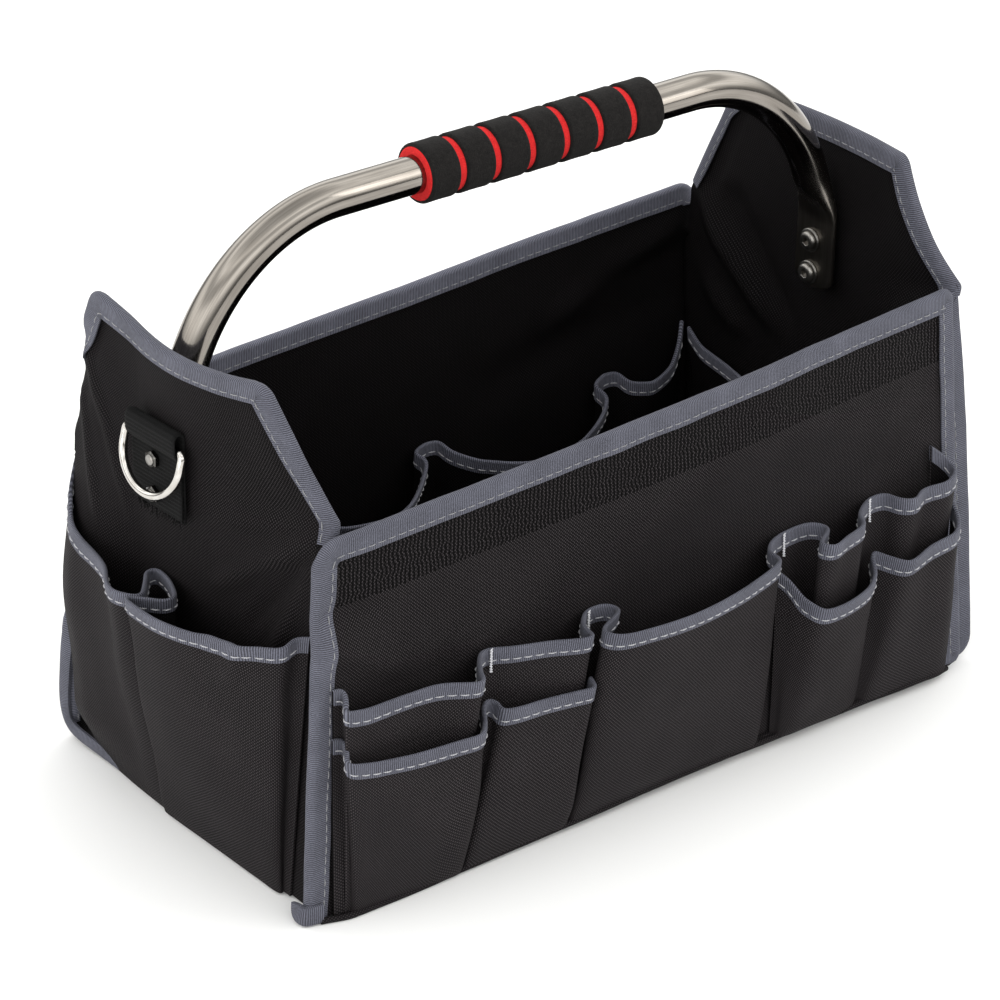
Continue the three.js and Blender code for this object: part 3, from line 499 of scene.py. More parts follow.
def front_wall(x, z, out):
    """Point at a place along the wall and a height, moved out from the middle of its cloth."""
    bow = FRONT_BOW * (1 - (x / BASE_HALF_LENGTH) ** 2) * (z / WALL_TOP) ** 2
    dent = 1.1 * wander(x, z, 62, 1) * ease(z, 20, 80) + creased("front", x, z)
    return settle(x, -half_depth(z) - bow - dent - out, z)


def back_wall(x, z, out):
    """As for the front; the seam at its left end folds round behind the bag, except near the floor."""
    x, z, out = np.broadcast_arrays(*(np.asarray(value, float) for value in (x, z, out)))
    dent = 1.2 * wander(x, z, 85, 2) * ease(z, 20, 80) + creased("back", x, z)
    folded, high = ease(z, 40, 100), ease(z, 140, 190)
    hinge = SEAM_HINGE - 1.5 * high
    past = np.maximum(0, -x - hinge)
    full = SEAM_FOLD * folded + 1e-6
    turn = full * np.minimum(1, past / SEAM_BEND)
    radius = SEAM_BEND / full
    straight = np.maximum(0, past - SEAM_BEND)
    hinge_x = np.where(past > 0, -hinge, x)
    fold_x = hinge_x - radius * np.sin(turn) - straight * np.cos(full) + out * np.sin(turn)
    fold_y = radius * (1 - np.cos(turn)) + straight * np.sin(full) + out * np.cos(turn)
    bulky = mix(3.2, 1.2, high) * smooth(past / SEAM_BEND) * folded
    return settle(fold_x, half_depth(z) + dent + fold_y + bulky, z)


def back_wall_inside(x, z, out):
    return back_wall(x, z, -out)


def shoulder_half(z):
    rise = np.clip((z - WALL_TOP) / (END_TOP - WALL_TOP), 0, 1)
    return mix(SLOPE_FOOT_HALF, END_TOP_HALF, rise)


def end_reach(name, y, z):
    """How far an end wall stands out from the middle of the bag."""
    end = END[name]
    above = np.maximum(0, (z - WALL_TOP) / (END_TOP - WALL_TOP))
    plain = edge_half_length(np.minimum(z, WALL_TOP)) - FLANGE - WALL / 2 + end["lean"] * above
    across = np.maximum(0, 1 - (y / BULGE_HALF_WIDTH) ** 2) ** 2
    bulge = end["bulge"] * across * ease(z, 0, 190) * mix(1, 0.85, above)
    seam_top = ease(z, 176, WALL_TOP) * (1 - np.minimum(1, above))
    edge_flare = np.where(y < 0, end["front_flare"], end["back_flare"])
    flare = edge_flare * np.clip((np.abs(y) - 34) / 55, 0, 1) ** 2 * seam_top
    belly_y = (y - end["belly_y"]) / BELLY_HALF_WIDTH
    belly_z = (z - end["belly_z"]) / BELLY_HALF_HEIGHT
    reach = plain + bulge + flare + end["belly"] * np.exp(-belly_y ** 2 - belly_z ** 2)
    if end["side"] < 0:
        edge = mix(TOP_HALF_DEPTH + 2, shoulder_half(z), ease(z, 190, WALL_TOP))
        rolled = mix(1 - ease(y, edge - 12, edge), 1, ease(z, 236, 260))
        fade = mix(1, 0.55, ease(z, 225, 275)) * ease(z, 0, 40)
        reach = reach + BACK_BULGE * ease(y, 28, 73) * rolled * fade
    return reach


def end_wall(name, y, z, out):
    """Point at a place across the wall and a height, moved out from the middle of its cloth."""
    end = END[name]
    y, z = np.broadcast_arrays(np.asarray(y, float), np.asarray(z, float))
    inside = ease(np.abs(y), 88, 66)
    dent = inside * (0.9 * wander(y, z, 60, 3 + end["side"]) * ease(z, 20, 70) + creased(name, y, z))
    above = np.clip((z - WALL_TOP) / (END_TOP - WALL_TOP), 0, 1)
    drop = end["sag"] * above * np.maximum(0, 1 - ((y - 8) / END_TOP_HALF) ** 2)
    drop = drop - above * (end["rise"] + end["tilt"] * y / END_TOP_HALF)
    points = settle(end["side"] * (end_reach(name, y, z) + dent + out), y, z)
    return points - drop[..., None] * [0, 0, 1]


def along_wall(name, facing):
    """Wall function across an end wall; facing is 1 on its outside and -1 on its inside."""
    return lambda y, z, out: end_wall(name, y, z, facing * out)


# Mesh helpers

def signed_volume(points, faces):
    a = points[faces[:, 0]]
    total = 0.0
    for k in range(1, faces.shape[1] - 1):
        total += np.einsum("ij,ij->", a, np.cross(points[faces[:, k]], points[faces[:, k + 1]]))
    return total


def add_piece(name, points, face_sets, material, uv=None, sharp=55, painted_shade_cloth=None, shaded_set=1):
    """Mesh object from points in millimetres; face_sets are arrays of equal-sided faces, and the set whose
    number is given takes the second material, the painted-shade cloth."""
    face_sets = [np.asarray(faces) for faces in face_sets if len(faces)]
    if sum(signed_volume(points, faces) for faces in face_sets) < 0:
        face_sets = [faces[:, ::-1] for faces in face_sets]
    mesh = bpy.data.meshes.new(name)
    mesh.from_pydata((points * MM).tolist(), [], [f for faces in face_sets for f in faces.tolist()])
    if uv is not None:
        corner = np.zeros(len(mesh.loops), np.int32)
        mesh.loops.foreach_get("vertex_index", corner)
        layer = mesh.uv_layers.new(name="cloth")
        layer.data.foreach_set("uv", uv[corner].astype(np.float32).ravel())
    mesh.shade_smooth()
    mesh.set_sharp_from_angle(angle=math.radians(sharp))
    mesh.materials.append(material)
    if painted_shade_cloth:
        mesh.materials.append(painted_shade_cloth)
        chosen = [np.full(len(faces), int(k == shaded_set)) for k, faces in enumerate(face_sets)]
        mesh.polygons.foreach_set("material_index", np.concatenate(chosen))
    piece = bpy.data.objects.new(name, mesh)
    bpy.context.scene.collection.objects.link(piece)
    return piece


def grid_faces(columns, rows, start=0, wrap=False):
    i = np.arange(columns if wrap else columns - 1)[:, None]
    j = np.arange(rows - 1)[None, :]
    after = (i + 1) % columns
    return np.stack([
        start + i * rows + j, start + after * rows + j,
        start + after * rows + j + 1, start + i * rows + j + 1,
    ], axis=-1).reshape(-1, 4)


def slab(name, outer, inner, material, uv, painted_shade_cloth=None, shaded_set=1):
    """Closed sheet between two grids of points with the same shape."""
    columns, rows = outer.shape[:2]
    size = columns * rows
    points = np.concatenate([outer.reshape(-1, 3), inner.reshape(-1, 3)])
    front = grid_faces(columns, rows)
    back = grid_faces(columns, rows, size)[:, ::-1]
    index = np.arange(size).reshape(columns, rows)
    rim = np.concatenate([index[:, 0], index[-1, 1:], index[-2::-1, -1], index[0, -2:0:-1]])
    following = np.roll(rim, -1)
    band = np.stack([rim, rim + size, following + size, following], axis=-1)
    pair = np.concatenate([uv.reshape(-1, 2)] * 2)
    return add_piece(name, points, [front, back, band], material, pair, painted_shade_cloth=painted_shade_cloth, shaded_set=shaded_set)


def thick_slab(name, middle, thickness, material, uv, painted_shade_cloth=None, shaded_set=1):
    """Closed sheet of a thickness about a grid of points."""
    normal = unit(np.cross(np.gradient(middle, axis=0), np.gradient(middle, axis=1)))
    half = np.asarray(thickness)[..., None] / 2
    return slab(name, middle + normal * half, middle - normal * half, material, uv, painted_shade_cloth, shaded_set)


def shade_edge_columns(piece, columns, rows, edge):
    """Gives the painted-shade cloth to the first and last columns of a slab, on both of its faces: painted
    shade in the recess beside a corner seam.
    """
    chosen = np.zeros(len(piece.data.polygons), np.int32)
    piece.data.polygons.foreach_get("material_index", chosen)
    column = np.arange(2 * (columns - 1) * (rows - 1)) // (rows - 1) % (columns - 1)
    chosen[:len(column)][(column < edge) | (column >= columns - 1 - edge)] = 1
    piece.data.polygons.foreach_set("material_index", chosen)


def sweep(name, rings, material, uv=None, closed=False, sharp=55):
    """Body through rings of points; an open sweep is capped at both ends."""
    count, size = rings.shape[:2]
    points = rings.reshape(-1, 3)
    i = np.arange(count if closed else count - 1)[:, None]
    k = np.arange(size)[None, :]
    after, turn = (i + 1) % count, (k + 1) % size
    sides = np.stack([i * size + k, after * size + k, after * size + turn, i * size + turn], axis=-1)
    caps = []
    if not closed:
        caps = [np.arange(size)[None, :], (count - 1) * size + np.arange(size)[None, ::-1]]
    return add_piece(name, points, [sides.reshape(-1, 4), *caps], material, uv, sharp)


def ring_uv(count, size, length, girth):
    u = np.repeat(np.linspace(0, length, count), size)
    v = np.tile(np.linspace(0, girth, size), count)
    return np.stack([u, v], axis=-1)


def lathe(name, profile, place, material, segments=64, sharp=40, hexagon=None):
    """Turned body about X from (radius, x) points that close on themselves; hexagon lists the profile's
    points that follow a hexagon instead of a circle."""
    profile = np.array(profile, float)
    angle = np.linspace(0, 2 * np.pi, segments, endpoint=False)
    radius = np.repeat(profile[:, 0][None, :], segments, axis=0)
    if hexagon:
        sector = np.mod(angle + np.pi / 6, np.pi / 3) - np.pi / 6
        radius[:, list(hexagon)] /= np.cos(sector)[:, None]
    points = np.stack([
        np.repeat(profile[:, 1][None, :], segments, axis=0),
        radius * np.cos(angle)[:, None],
        radius * np.sin(angle)[:, None],
    ], axis=-1)
    points = points @ np.array(place)[:3, :3].T + np.array(place)[:3, 3]
    uv = paired(profile[:, 1][None, :], angle[:, None] * profile[:, 0].max())
    return sweep(name, points, material, uv.reshape(-1, 2), closed=True, sharp=sharp)


def tube(name, path, radius, sides, material, closed=False):
    """Round wire along a path of points."""
    path = np.asarray(path, float)
    if closed:
        run = unit(np.roll(path, -1, axis=0) - np.roll(path, 1, axis=0))
    else:
        run = unit(np.gradient(path, axis=0))
    across = np.zeros_like(path)
    guide = np.array([0.31, 0.77, 0.55])
    for k, direction in enumerate(run):
        guide = unit(guide - direction * guide.dot(direction))
        across[k] = guide
    if closed:
        across = unit(across + np.roll(across, 1, axis=0))
    up = np.cross(run, across)
    angle = np.linspace(0, 2 * np.pi, sides, endpoint=False)[None, :, None]
    rings = path[:, None] + radius * (np.cos(angle) * across[:, None] + np.sin(angle) * up[:, None])
    length = run_length(path)[-1]
    return sweep(name, rings, material, ring_uv(len(path), sides, length, 2 * np.pi * radius), closed)


def strands(name, rings, material, uv):
    """Many short threads in one mesh; rings has points by thread, by step along it and by place round it."""
    count, steps, sides = rings.shape[:3]
    start = np.arange(count)[:, None, None] * steps * sides
    i = np.arange(steps - 1)[None, :, None] * sides
    k = np.arange(sides)[None, None, :]
    turn = (k + 1) % sides
    corners = (i + k, i + sides + k, i + sides + turn, i + turn)
    walls = np.stack([start + corner for corner in corners], axis=-1)
    first = start[:, 0] + np.arange(sides)
    last = start[:, 0] + (steps - 1) * sides + np.arange(sides)[::-1]
    return add_piece(name, rings.reshape(-1, 3), [walls.reshape(-1, 4), first, last], material, uv)


def stitches(name, line, out, material, radius):
    """A row of short threads that lie on the tape and dip into it at both ends."""
    known = run_length(line)
    count = max(1, int((known[-1] - STITCH_DASH) // STITCH_PITCH))
    step = np.linspace(0, 1, 6)
    sides = 6
    at = (np.arange(count) + 0.15) * STITCH_PITCH + 0.35 * wander(np.arange(count) * 7.3, 0, 5, 11)
    at = (at[:, None] + STITCH_DASH * step).ravel()
    centre = resample(line, at, known).reshape(count, len(step), 3)
    lift = unit(resample(out, at, known)).reshape(count, len(step), 3)
    centre = centre + lift * (radius * (1.5 * np.sin(np.pi * step) - 0.6))[None, :, None]
    run = unit(np.gradient(centre, axis=1))
    side = unit(np.cross(lift, run))
    up = np.cross(run, side)
    angle = np.linspace(0, 2 * np.pi, sides, endpoint=False)[:, None]
    full = radius * mix(0.6, 1, np.sin(np.pi * step))[None, :, None, None]
    rings = centre[:, :, None] + full * (np.cos(angle) * side[:, :, None] + np.sin(angle) * up[:, :, None])
    uv = np.stack([np.repeat(step * STITCH_DASH, sides), np.tile(np.arange(sides), len(step))], axis=-1)
    return strands(name, rings, material, np.tile(uv, (count, 1)))


# Materials
SOCKETS = {
    "metallic": "Metallic",
    "roughness": "Roughness",
    "specular": "Specular IOR Level",
    "anisotropic": "Anisotropic",
    "sheen": "Sheen Weight",
    "sheen_roughness": "Sheen Roughness",
}


def set_stops(ramp, stops):
    while len(ramp.elements) < len(stops):
        ramp.elements.new(1.0)
    for element, (where, colour) in zip(ramp.elements, stops):
        element.position = where
        element.color = (*colour, 1)


class Number:
    """A number in a node material; arithmetic with it adds math nodes."""

    def __init__(self, shader, socket):
        self.shader = shader
        self.socket = socket

    def math(self, operation, *others):
        node = self.shader.add("ShaderNodeMath", self, *others, operation=operation)
        return Number(self.shader, node.outputs[0])

    def __add__(self, other):
        return self.math("ADD", other)

    def __sub__(self, other):
        return self.math("SUBTRACT", other)

    def __rsub__(self, other):
        return self.math("MULTIPLY_ADD", -1.0, other)

    def __mul__(self, other):
        return self.math("MULTIPLY", other)

    def __truediv__(self, other):
        return self.math("DIVIDE", other)


class Shader:
    """A node material under construction."""

    def __init__(self, name, **surface):
        self.material = bpy.data.materials.new(name)
        self.material.use_nodes = True
        self.tree = self.material.node_tree
        self.surface = self.tree.nodes["Principled BSDF"]
        for label, value in surface.items():
            self.surface.inputs[SOCKETS[label]].default_value = value

    def add(self, kind, *inputs, **settings):
        node = self.tree.nodes.new(kind)
        for label, value in settings.items():
            setattr(node, label, value)
        for socket, value in zip(node.inputs, inputs):
            self.feed(socket, value)
        return node

    def feed(self, socket, value):
        if isinstance(value, Number):
            value = value.socket
        if isinstance(value, bpy.types.NodeSocket):
            self.tree.links.new(value, socket)
        elif value is not None:
            socket.default_value = value

    def uv(self):
        place = self.add("ShaderNodeUVMap", uv_map="cloth").outputs[0]
        parts = self.add("ShaderNodeSeparateXYZ", place)
        return Number(self, parts.outputs[0]), Number(self, parts.outputs[1])

    def noise(self, vector, scale, detail=2.0, rough=0.5):
        node = self.add("ShaderNodeTexNoise")
        self.feed(node.inputs["Vector"], vector)
        node.inputs["Scale"].default_value = scale
        node.inputs["Detail"].default_value = detail
        node.inputs["Roughness"].default_value = rough
        return Number(self, node.outputs["Fac"])

    def cells(self, vector, scale):
        node = self.add("ShaderNodeTexVoronoi", feature="F1")
        self.feed(node.inputs["Vector"], vector)
        node.inputs["Scale"].default_value = scale
        return Number(self, node.outputs["Distance"])

    def place(self, x, y):
        return self.add("ShaderNodeCombineXYZ", x, y).outputs[0]

    def object_place(self):
        return self.add("ShaderNodeTexCoord").outputs["Object"]

    def colours(self, amount, *stops):
        node = self.add("ShaderNodeValToRGB", amount)
        set_stops(node.color_ramp, stops)
        return node.outputs[0]

    def bump(self, height, distance, strength):
        node = self.add("ShaderNodeBump")
        node.inputs["Strength"].default_value = strength
        node.inputs["Distance"].default_value = distance
        self.feed(node.inputs["Height"], height)
        return node.outputs[0]

    def finish(self, colour, normal=None, rough=None):
        self.feed(self.surface.inputs["Base Color"], colour)
        self.feed(self.surface.inputs["Normal"], normal)
        self.feed(self.surface.inputs["Roughness"], rough)
        return self.material


def weave(u, v, pitch):
    """Height of a plain weave from 0 to 1, with one yarn over and one under, and which yarn is on top."""
    a, b = u / pitch, v / pitch
    crowns = []
    for place in (a, b):
        middle = place.math("FRACT") * 2.0 - 1.0
        crowns.append(1.0 - middle * middle)
    cell = a.math("FLOOR") + b.math("FLOOR")
    over = (cell * 0.5).math("FRACT") * 2.0
    warp = crowns[0] * (crowns[1] * 0.5 + 0.5)
    weft = crowns[1] * (crowns[0] * 0.5 + 0.5)
    return warp + (weft - warp) * over, over


def cloth_material(name, shade, soft=0.0, band=False):
    """Woven cloth; shade sets how light it is, painting in the light its part gets; soft evens out its yarns;
    band adds the coarser weave.
    """
    shader = Shader(name, specular=0.04)
    u, v = shader.uv()
    height, over = weave(u, v, CLOTH_PITCH)
    place = shader.place(u, v)
    fleck = shader.noise(place, 1.2, 1.0)
    cloud = shader.noise(place, 0.03, 3.0)
    light = height * (1.0 - over * 0.62) * (fleck * 0.9 + 0.55) + (cloud - 0.5) * 0.16
    if band:
        inside = v.math("GREATER_THAN", BAND_TOP) * v.math("LESS_THAN", BAND_FOOT)
        swing = shader.noise(shader.place(u * 0.04, v * 0.22), 1.0, 2.0)
        phase = swing * 12.0 + u * (2 * math.pi / BAND_PITCH)
        column = phase.math("SINE") * 0.62 - 0.3
        light = light * (column * inside + 1.0)
    levels = (
        (0.04, mix(0.0022, 0.0045, soft)),
        (0.3, mix(0.0095, 0.012, soft)),
        (0.85, mix(0.078, 0.056, soft)),
    )
    stops = [(where, [shade * level * part for part in CLOTH_TINT]) for where, level in levels]
    return shader.finish(shader.colours(light, *stops), shader.bump(height, 0.00025, 0.8), 0.62)


def tape_material(name, shade):
    """Ribbed grey tape; shade is how light it is."""
    shader = Shader(name, specular=0.15, sheen=0.05, sheen_roughness=0.4)
    u, v = shader.uv()
    rib = (u * (2 * math.pi / TAPE_RIB)).math("SINE") * 0.5 + 0.5
    fleck = shader.noise(shader.place(u * 1.6, v * 0.6), 1.5, 2.0)
    cloud = shader.noise(shader.place(u, v), 0.06, 3.0)
    light = rib * 0.5 + fleck * 0.5 + (cloud - 0.5) * 0.3
    levels = (
        (0.12, (0.022, 0.0215, 0.026)),
        (0.5, (0.083, 0.085, 0.108)),
        (0.92, (0.194, 0.199, 0.248)),
    )
    stops = [(where, [shade * part for part in colour]) for where, colour in levels]
    return shader.finish(shader.colours(light, *stops), shader.bump(rib + fleck * 0.5, 0.00022, 0.9), 0.75)


def thread_material(name, dark, light):
    shader = Shader(name, specular=0.35, sheen=0.2)
    u, v = shader.uv()
    twist = (u * 7.0 + v * 1.05).math("SINE")
    stops = (0.0, (dark, dark, dark * 1.07)), (1.0, (light, light, light * 1.05))
    return shader.finish(shader.colours(twist * 0.5 + 0.5, *stops), shader.bump(twist, 0.0001, 0.7), 0.6)


def webbing_material():
    shader = Shader("webbing", specular=0.1, sheen=0.02, sheen_roughness=0.4)
    u, v = shader.uv()
    height = weave(u, v, WEBBING_PITCH)[0]
    fleck = shader.noise(shader.place(u, v), 0.7, 2.0)
    # Black webbing, its colours set darker still as painted shade.
    stops = (0.2, (0.0008, 0.0008, 0.0008)), (0.9, (0.008, 0.008, 0.0083))
    colour = shader.colours(height * 0.6 + fleck * 0.5, *stops)
    return shader.finish(colour, shader.bump(height, 0.0002, 0.8), 0.75)


def foam_material(name, dark, light):
    shader = Shader(name, specular=0.12, sheen=0.02, sheen_roughness=0.6)
    place = shader.object_place()
    amount = shader.cells(place, 1400.0) * 0.55 + shader.noise(place, 380.0, 3.0) * 0.6
    colour = shader.colours(amount, (0.2, dark), (0.85, light))
    return shader.finish(colour, shader.bump(amount, 0.00025, 0.7), 0.88)


def steel_material():
    """Brushed steel, duller where the tube's ends are pressed flat; u is the distance from the nearer end."""
    shader = Shader("tube_steel", metallic=1.0, anisotropic=0.35)
    u, v = shader.uv()
    streak = shader.noise(shader.place(u * 0.015, v), 1.4, 3.0, 0.6)
    smear = shader.noise(shader.place(u * 0.08, v * 0.5), 0.5, 3.0)
    stops = (0.3, (0.18, 0.162, 0.143)), (0.7, (0.315, 0.291, 0.263))
    colour = shader.colours(streak * 0.5 + smear * 0.5, *stops)
    pressed = 1.0 - (u - PRESSED_LENGTH) / PRESSED_FADE
    pressed = pressed.math("MINIMUM", 1.0).math("MAXIMUM", 0.0)
    rough = streak * 0.08 + smear * 0.05 + pressed * 0.2 + 0.045
    return shader.finish(colour, shader.bump(streak, 0.00003, 0.25), rough)


def plated_material(name, shade, dullness):
    shader = Shader(name, metallic=1.0)
    place = shader.object_place()
    wear = shader.noise(place, 160.0, 4.0, 0.6)
    pit = shader.noise(place, 900.0, 2.0)
    levels = (0.35, (0.60, 0.57, 0.53)), (0.7, (0.78, 0.76, 0.73))
    stops = [(where, [shade * part for part in colour]) for where, colour in levels]
    return shader.finish(shader.colours(wear, *stops), shader.bump(pit, 0.00002, 0.3), wear * 0.2 + dullness)


# Lit and shaded copies of the one black cloth: each shade paints in how light falls on its part. The end
# walls take a darker copy as painted shade, the pockets lighter copies as painted light from the floor below,
# and the front wall's band copy is a touch lighter than the plain cloth.
CLOTH_LOOK = cloth_material("cloth", 0.6)
SHADED_END_LOOK = cloth_material("end_cloth", 0.4)
LIT_END_POCKET_LOOK = cloth_material("end_pocket_cloth", 0.76, soft=0.6)
LIT_POCKET_LOOK = cloth_material("pocket_cloth", 0.95, soft=0.8)
BAND_LOOK = cloth_material("cloth_with_band", 0.64, band=True)
# Much darker copy of the cloth: painted shade on the inside faces of the walls and pockets, and in the
# recesses beside the end walls' corner seams.
INSIDE_SHADE_LOOK = cloth_material("painted_shade_cloth", 0.24)
TAPE_LOOK = tape_material("tape", 0.95)
# Lighter copy of the tape: painted light on the tape inside the bag and along the back wall's top.
LIT_INNER_TAPE_LOOK = tape_material("inner_tape", 1.36)
THREAD_LOOK = thread_material("light_thread", 0.28, 0.48)
GREY_THREAD_LOOK = thread_material("grey_thread", 0.17, 0.29)
WHITE_THREAD_LOOK = thread_material("white_thread", 0.45, 0.7)
WEBBING_LOOK = webbing_material()
BLACK_FOAM_LOOK = foam_material("black_foam", (0.001, 0.0009, 0.0009), (0.0128, 0.0116, 0.011))
RED_FOAM_LOOK = foam_material("red_foam", (0.42, 0.010, 0.012), (0.66, 0.025, 0.025))
STEEL_LOOK = steel_material()
PLATED_LOOK = plated_material("plated_steel", 0.8, 0.02)
BOLT_LOOK = plated_material("bolt_steel", 0.42, 0.22)
NUT_LOOK = plated_material("nut_steel", 0.16, 0.08)


def mount(piece, slot, *nodes, body="bag"):
    """Seats a finished piece on a body, in place of its plain solids."""
    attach(piece, body)
    if nodes:
        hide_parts(*nodes)
    return piece


# Camera

def make_camera():
    back = np.array([
        math.sin(CAMERA_AZIMUTH) * math.cos(CAMERA_ELEVATION),
        -math.cos(CAMERA_AZIMUTH) * math.cos(CAMERA_ELEVATION),
        math.sin(CAMERA_ELEVATION),
    ])
    level = unit(np.cross([0, 0, 1], back))
    upright = np.cross(back, level)
    right = level * math.cos(CAMERA_ROLL) + upright * math.sin(CAMERA_ROLL)
    up = upright * math.cos(CAMERA_ROLL) - level * math.sin(CAMERA_ROLL)
    place = (np.array(CAMERA_TARGET) + back * CAMERA_DISTANCE) * MM
    camera = bpy.data.objects.new("camera", bpy.data.cameras.new("camera"))
    camera.data.sensor_width = SENSOR
    camera.data.lens = SENSOR * FOCAL_PIXELS / FRAME_PIXELS
    camera.data.clip_end = 100
    rows = np.column_stack([right, up, back, place])
    camera.matrix_world = Matrix([*rows.tolist(), [0, 0, 0, 1]])
    bpy.context.scene.collection.objects.link(camera)
    bpy.context.scene.camera = camera


make_camera()


# Base

def make_base():
    half_length, front, back, radius = 199, 112.5, 106, 16
    corners = ((half_length, back), (-half_length, back), (-half_length, -front), (half_length, -front))
    outline = []
    for k, (x, y) in enumerate(corners):
        cx, cy = x - math.copysign(radius, x), y - math.copysign(radius, y)
        for angle in np.linspace(k * math.pi / 2, (k + 1) * math.pi / 2, 14):
            outline.append((cx + radius * math.cos(angle), cy + radius * math.sin(angle)))
    outline = np.array([*outline, outline[0]])
    count = 180
    known = run_length(outline)
    outline = resample(outline, np.linspace(0, known[-1], count, endpoint=False), known)
    run = unit(np.roll(outline, -1, axis=0) - np.roll(outline, 1, axis=0))
    inward = np.stack([-run[:, 1], run[:, 0]], axis=-1)
    rim = 8
    edge = ((2.2, 0.05), (0.8, 0.5), (0.1, 1.3), (0, 2.1), (0.2, 2.9), (0.9, 3.6), (2.2, 4.0))
    shares = np.linspace(0.02, 0.96, 10)
    profile = [(rim, 0.0, share) for share in (*shares, 1)]
    profile += [(depth, z, 1) for depth, z in edge]
    profile += [(rim, BASE_PLATE, share) for share in (1, *shares[::-1])]
    rings = []
    for depth, z, share in profile:
        flat = (outline + inward * depth) * share
        rings.append(settle(flat[:, 0], flat[:, 1], z))
    rings = np.stack(rings)
    uv = rings[..., :2] + [0, 1] * rings[..., 2:]
    base = sweep("base_pad", rings, CLOTH_LOOK, uv.reshape(-1, 2))
    mount(base, "cloth", "base_tray")


def make_base_seam():
    """Rolled seam along the foot of the front."""
    x = np.linspace(-203, 201, 220)
    out = 7.4 + 0.5 * wander(x, 0, 40, 5) - 5 * ease(np.abs(x), 186, 208)
    seam = front_wall(x, np.full_like(x, 2.1), out)
    seam[:, 2] += 0.3 * wander(x, 3, 24, 6) - 0.2
    mount(tube("front_base_seam", seam, 1.7, 12, CLOTH_LOOK), "cloth")


make_base()
make_base_seam()


# Front and back walls

def foot_rounding(z):
    """How far a long wall's edge draws in near the floor, at the back left and the front right."""
    return FOOT_RADIUS - np.sqrt(FOOT_RADIUS ** 2 - np.clip(FOOT + FOOT_RADIUS - z, 0, FOOT_RADIUS) ** 2)


def make_long_wall(name, wall, drop, material, right_extra):
    inset = TAPE + GAP
    edge = edge_half_length(WALL_TOP) - inset
    crowding = 0.92 * math.pi / 2
    across = np.sin(np.linspace(-1, 1, 170) * crowding) / math.sin(crowding)
    in_corner = np.clip(CORNER_RADIUS - edge * (1 - np.abs(across)), 0, CORNER_RADIUS)
    cut = CORNER_RADIUS - np.sqrt(CORNER_RADIUS ** 2 - in_corner ** 2)
    top = wall_top(across * edge) - drop - inset - cut
    z = mix(FOOT, top[:, None], np.linspace(0, 1, 96))
    reach = edge_half_length(z) - inset + right_extra * (across[:, None] > 0)
    rounded_side = 1 if right_extra else -1
    reach = reach - foot_rounding(z) * (across[:, None] * rounded_side > 0)
    x = across[:, None] * reach
    uv = paired(x, wall_top(x) - drop - z)
    # The wall's inside face takes the painted-shade cloth.
    piece = slab(f"{name}_cloth", wall(x, z, WALL / 2), wall(x, z, -WALL / 2), material, uv, INSIDE_SHADE_LOOK)
    mount(piece, "cloth", name)


make_long_wall("front_panel", front_wall, 0, BAND_LOOK, RIGHT_EXTRA)
make_long_wall("back_panel", back_wall, BACK_DROP, CLOTH_LOOK, 0)

# End walls
FLANGE_TOP = WALL_TOP - CORNER_RADIUS - 12
FLANGE_DEPTH = WALL / 2 + GAP + FLANGE_CLOTH / 2


def make_end_wall(name):
    """An end wall with a flange turned along each long wall, which opens out above the corner seams."""
    side = END[name]["side"]
    inset = TAPE + GAP
    corner = SHOULDER_RADIUS
    crown = END_TOP - inset
    z = np.concatenate([
        np.linspace(FOOT, FLANGE_TOP, 70),
        np.linspace(FLANGE_TOP + 1, crown - corner, 50),
        crown - corner + corner * np.sin(np.linspace(0.1, 1, 10) * math.pi / 2),
    ])
    seam = half_depth(np.minimum(z, WALL_TOP)) - FLANGE_DEPTH
    free = np.where(z <= WALL_TOP, seam - 2.4, shoulder_half(z) - inset)
    in_corner = np.maximum(0, z - (crown - corner))
    half = free - (corner - np.sqrt(np.maximum(0, corner ** 2 - in_corner ** 2)))
    plain = end_reach(name, np.full_like(z, BULGE_HALF_WIDTH), z)
    tip = edge_half_length(z) - inset - 0.4
    loose = ease(z, FLANGE_TOP - 6, FLANGE_TOP + 2)
    turned = 9
    main = np.linspace(-1, 1, 110)
    flanges = []
    for mirror, long_wall in ((-1, front_wall), (1, back_wall)):
        flange = []
        for t in np.arange(turned) / turned:
            bend = ease(t, 0.35, 1)
            x = mix(mix(tip, plain + 2.2, min(1, t / 0.6)), plain, bend)
            longer = RIGHT_EXTRA * (1 - t) if (side, mirror) == (1, -1) else 0
            if side != mirror:
                longer = longer - foot_rounding(z) * (1 - t)
            sewn = long_wall(side * (x + longer), z, -FLANGE_DEPTH - 4.0 * bend)
            open_edge = end_wall(name, mirror * (half - 4.5 * t), z, 0)
            parted = ease(z, 184, 197) if (side, mirror) == (-1, 1) else loose
            flange.append(mix(sewn, open_edge, parted[:, None]))
        flanges.append(flange)
    body = [end_wall(name, share * mix(seam - 4, half - 4.5, loose), z, 0) for share in main]
    middle = np.stack([*flanges[0], *body, *flanges[1][::-1]])
    thick = np.full(middle.shape[:2], WALL)
    ramp = mix(FLANGE_CLOTH, WALL, np.linspace(0, 1, turned))[:, None]
    thick[:turned] = mix(ramp, WALL, loose[None, :])
    thick[-turned:] = thick[:turned][::-1]
    near_edge = np.concatenate([np.ones(turned), ease(np.abs(main), 0.8, 0.88), np.ones(turned)])
    thick = mix(thick, EDGE_CLOTH, near_edge[:, None] * ease(z, WALL_TOP, WALL_TOP + 10))
    uv = paired(run_length(middle[:, 60])[:, None], z[None, :])
    # The inside face takes the painted-shade cloth, and the flange columns take it on both faces as painted
    # shade in the recess beside the corner binding.
    piece = thick_slab(f"{name}_end_panel_cloth", middle, thick, SHADED_END_LOOK, uv, INSIDE_SHADE_LOOK,
                       shaded_set=0 if side < 0 else 1)
    shade_edge_columns(piece, len(middle), len(z), turned + 2)
    mount(piece, "cloth", f"{name}_end_panel")


for end_name in END:
    make_end_wall(end_name)


# Binding tape

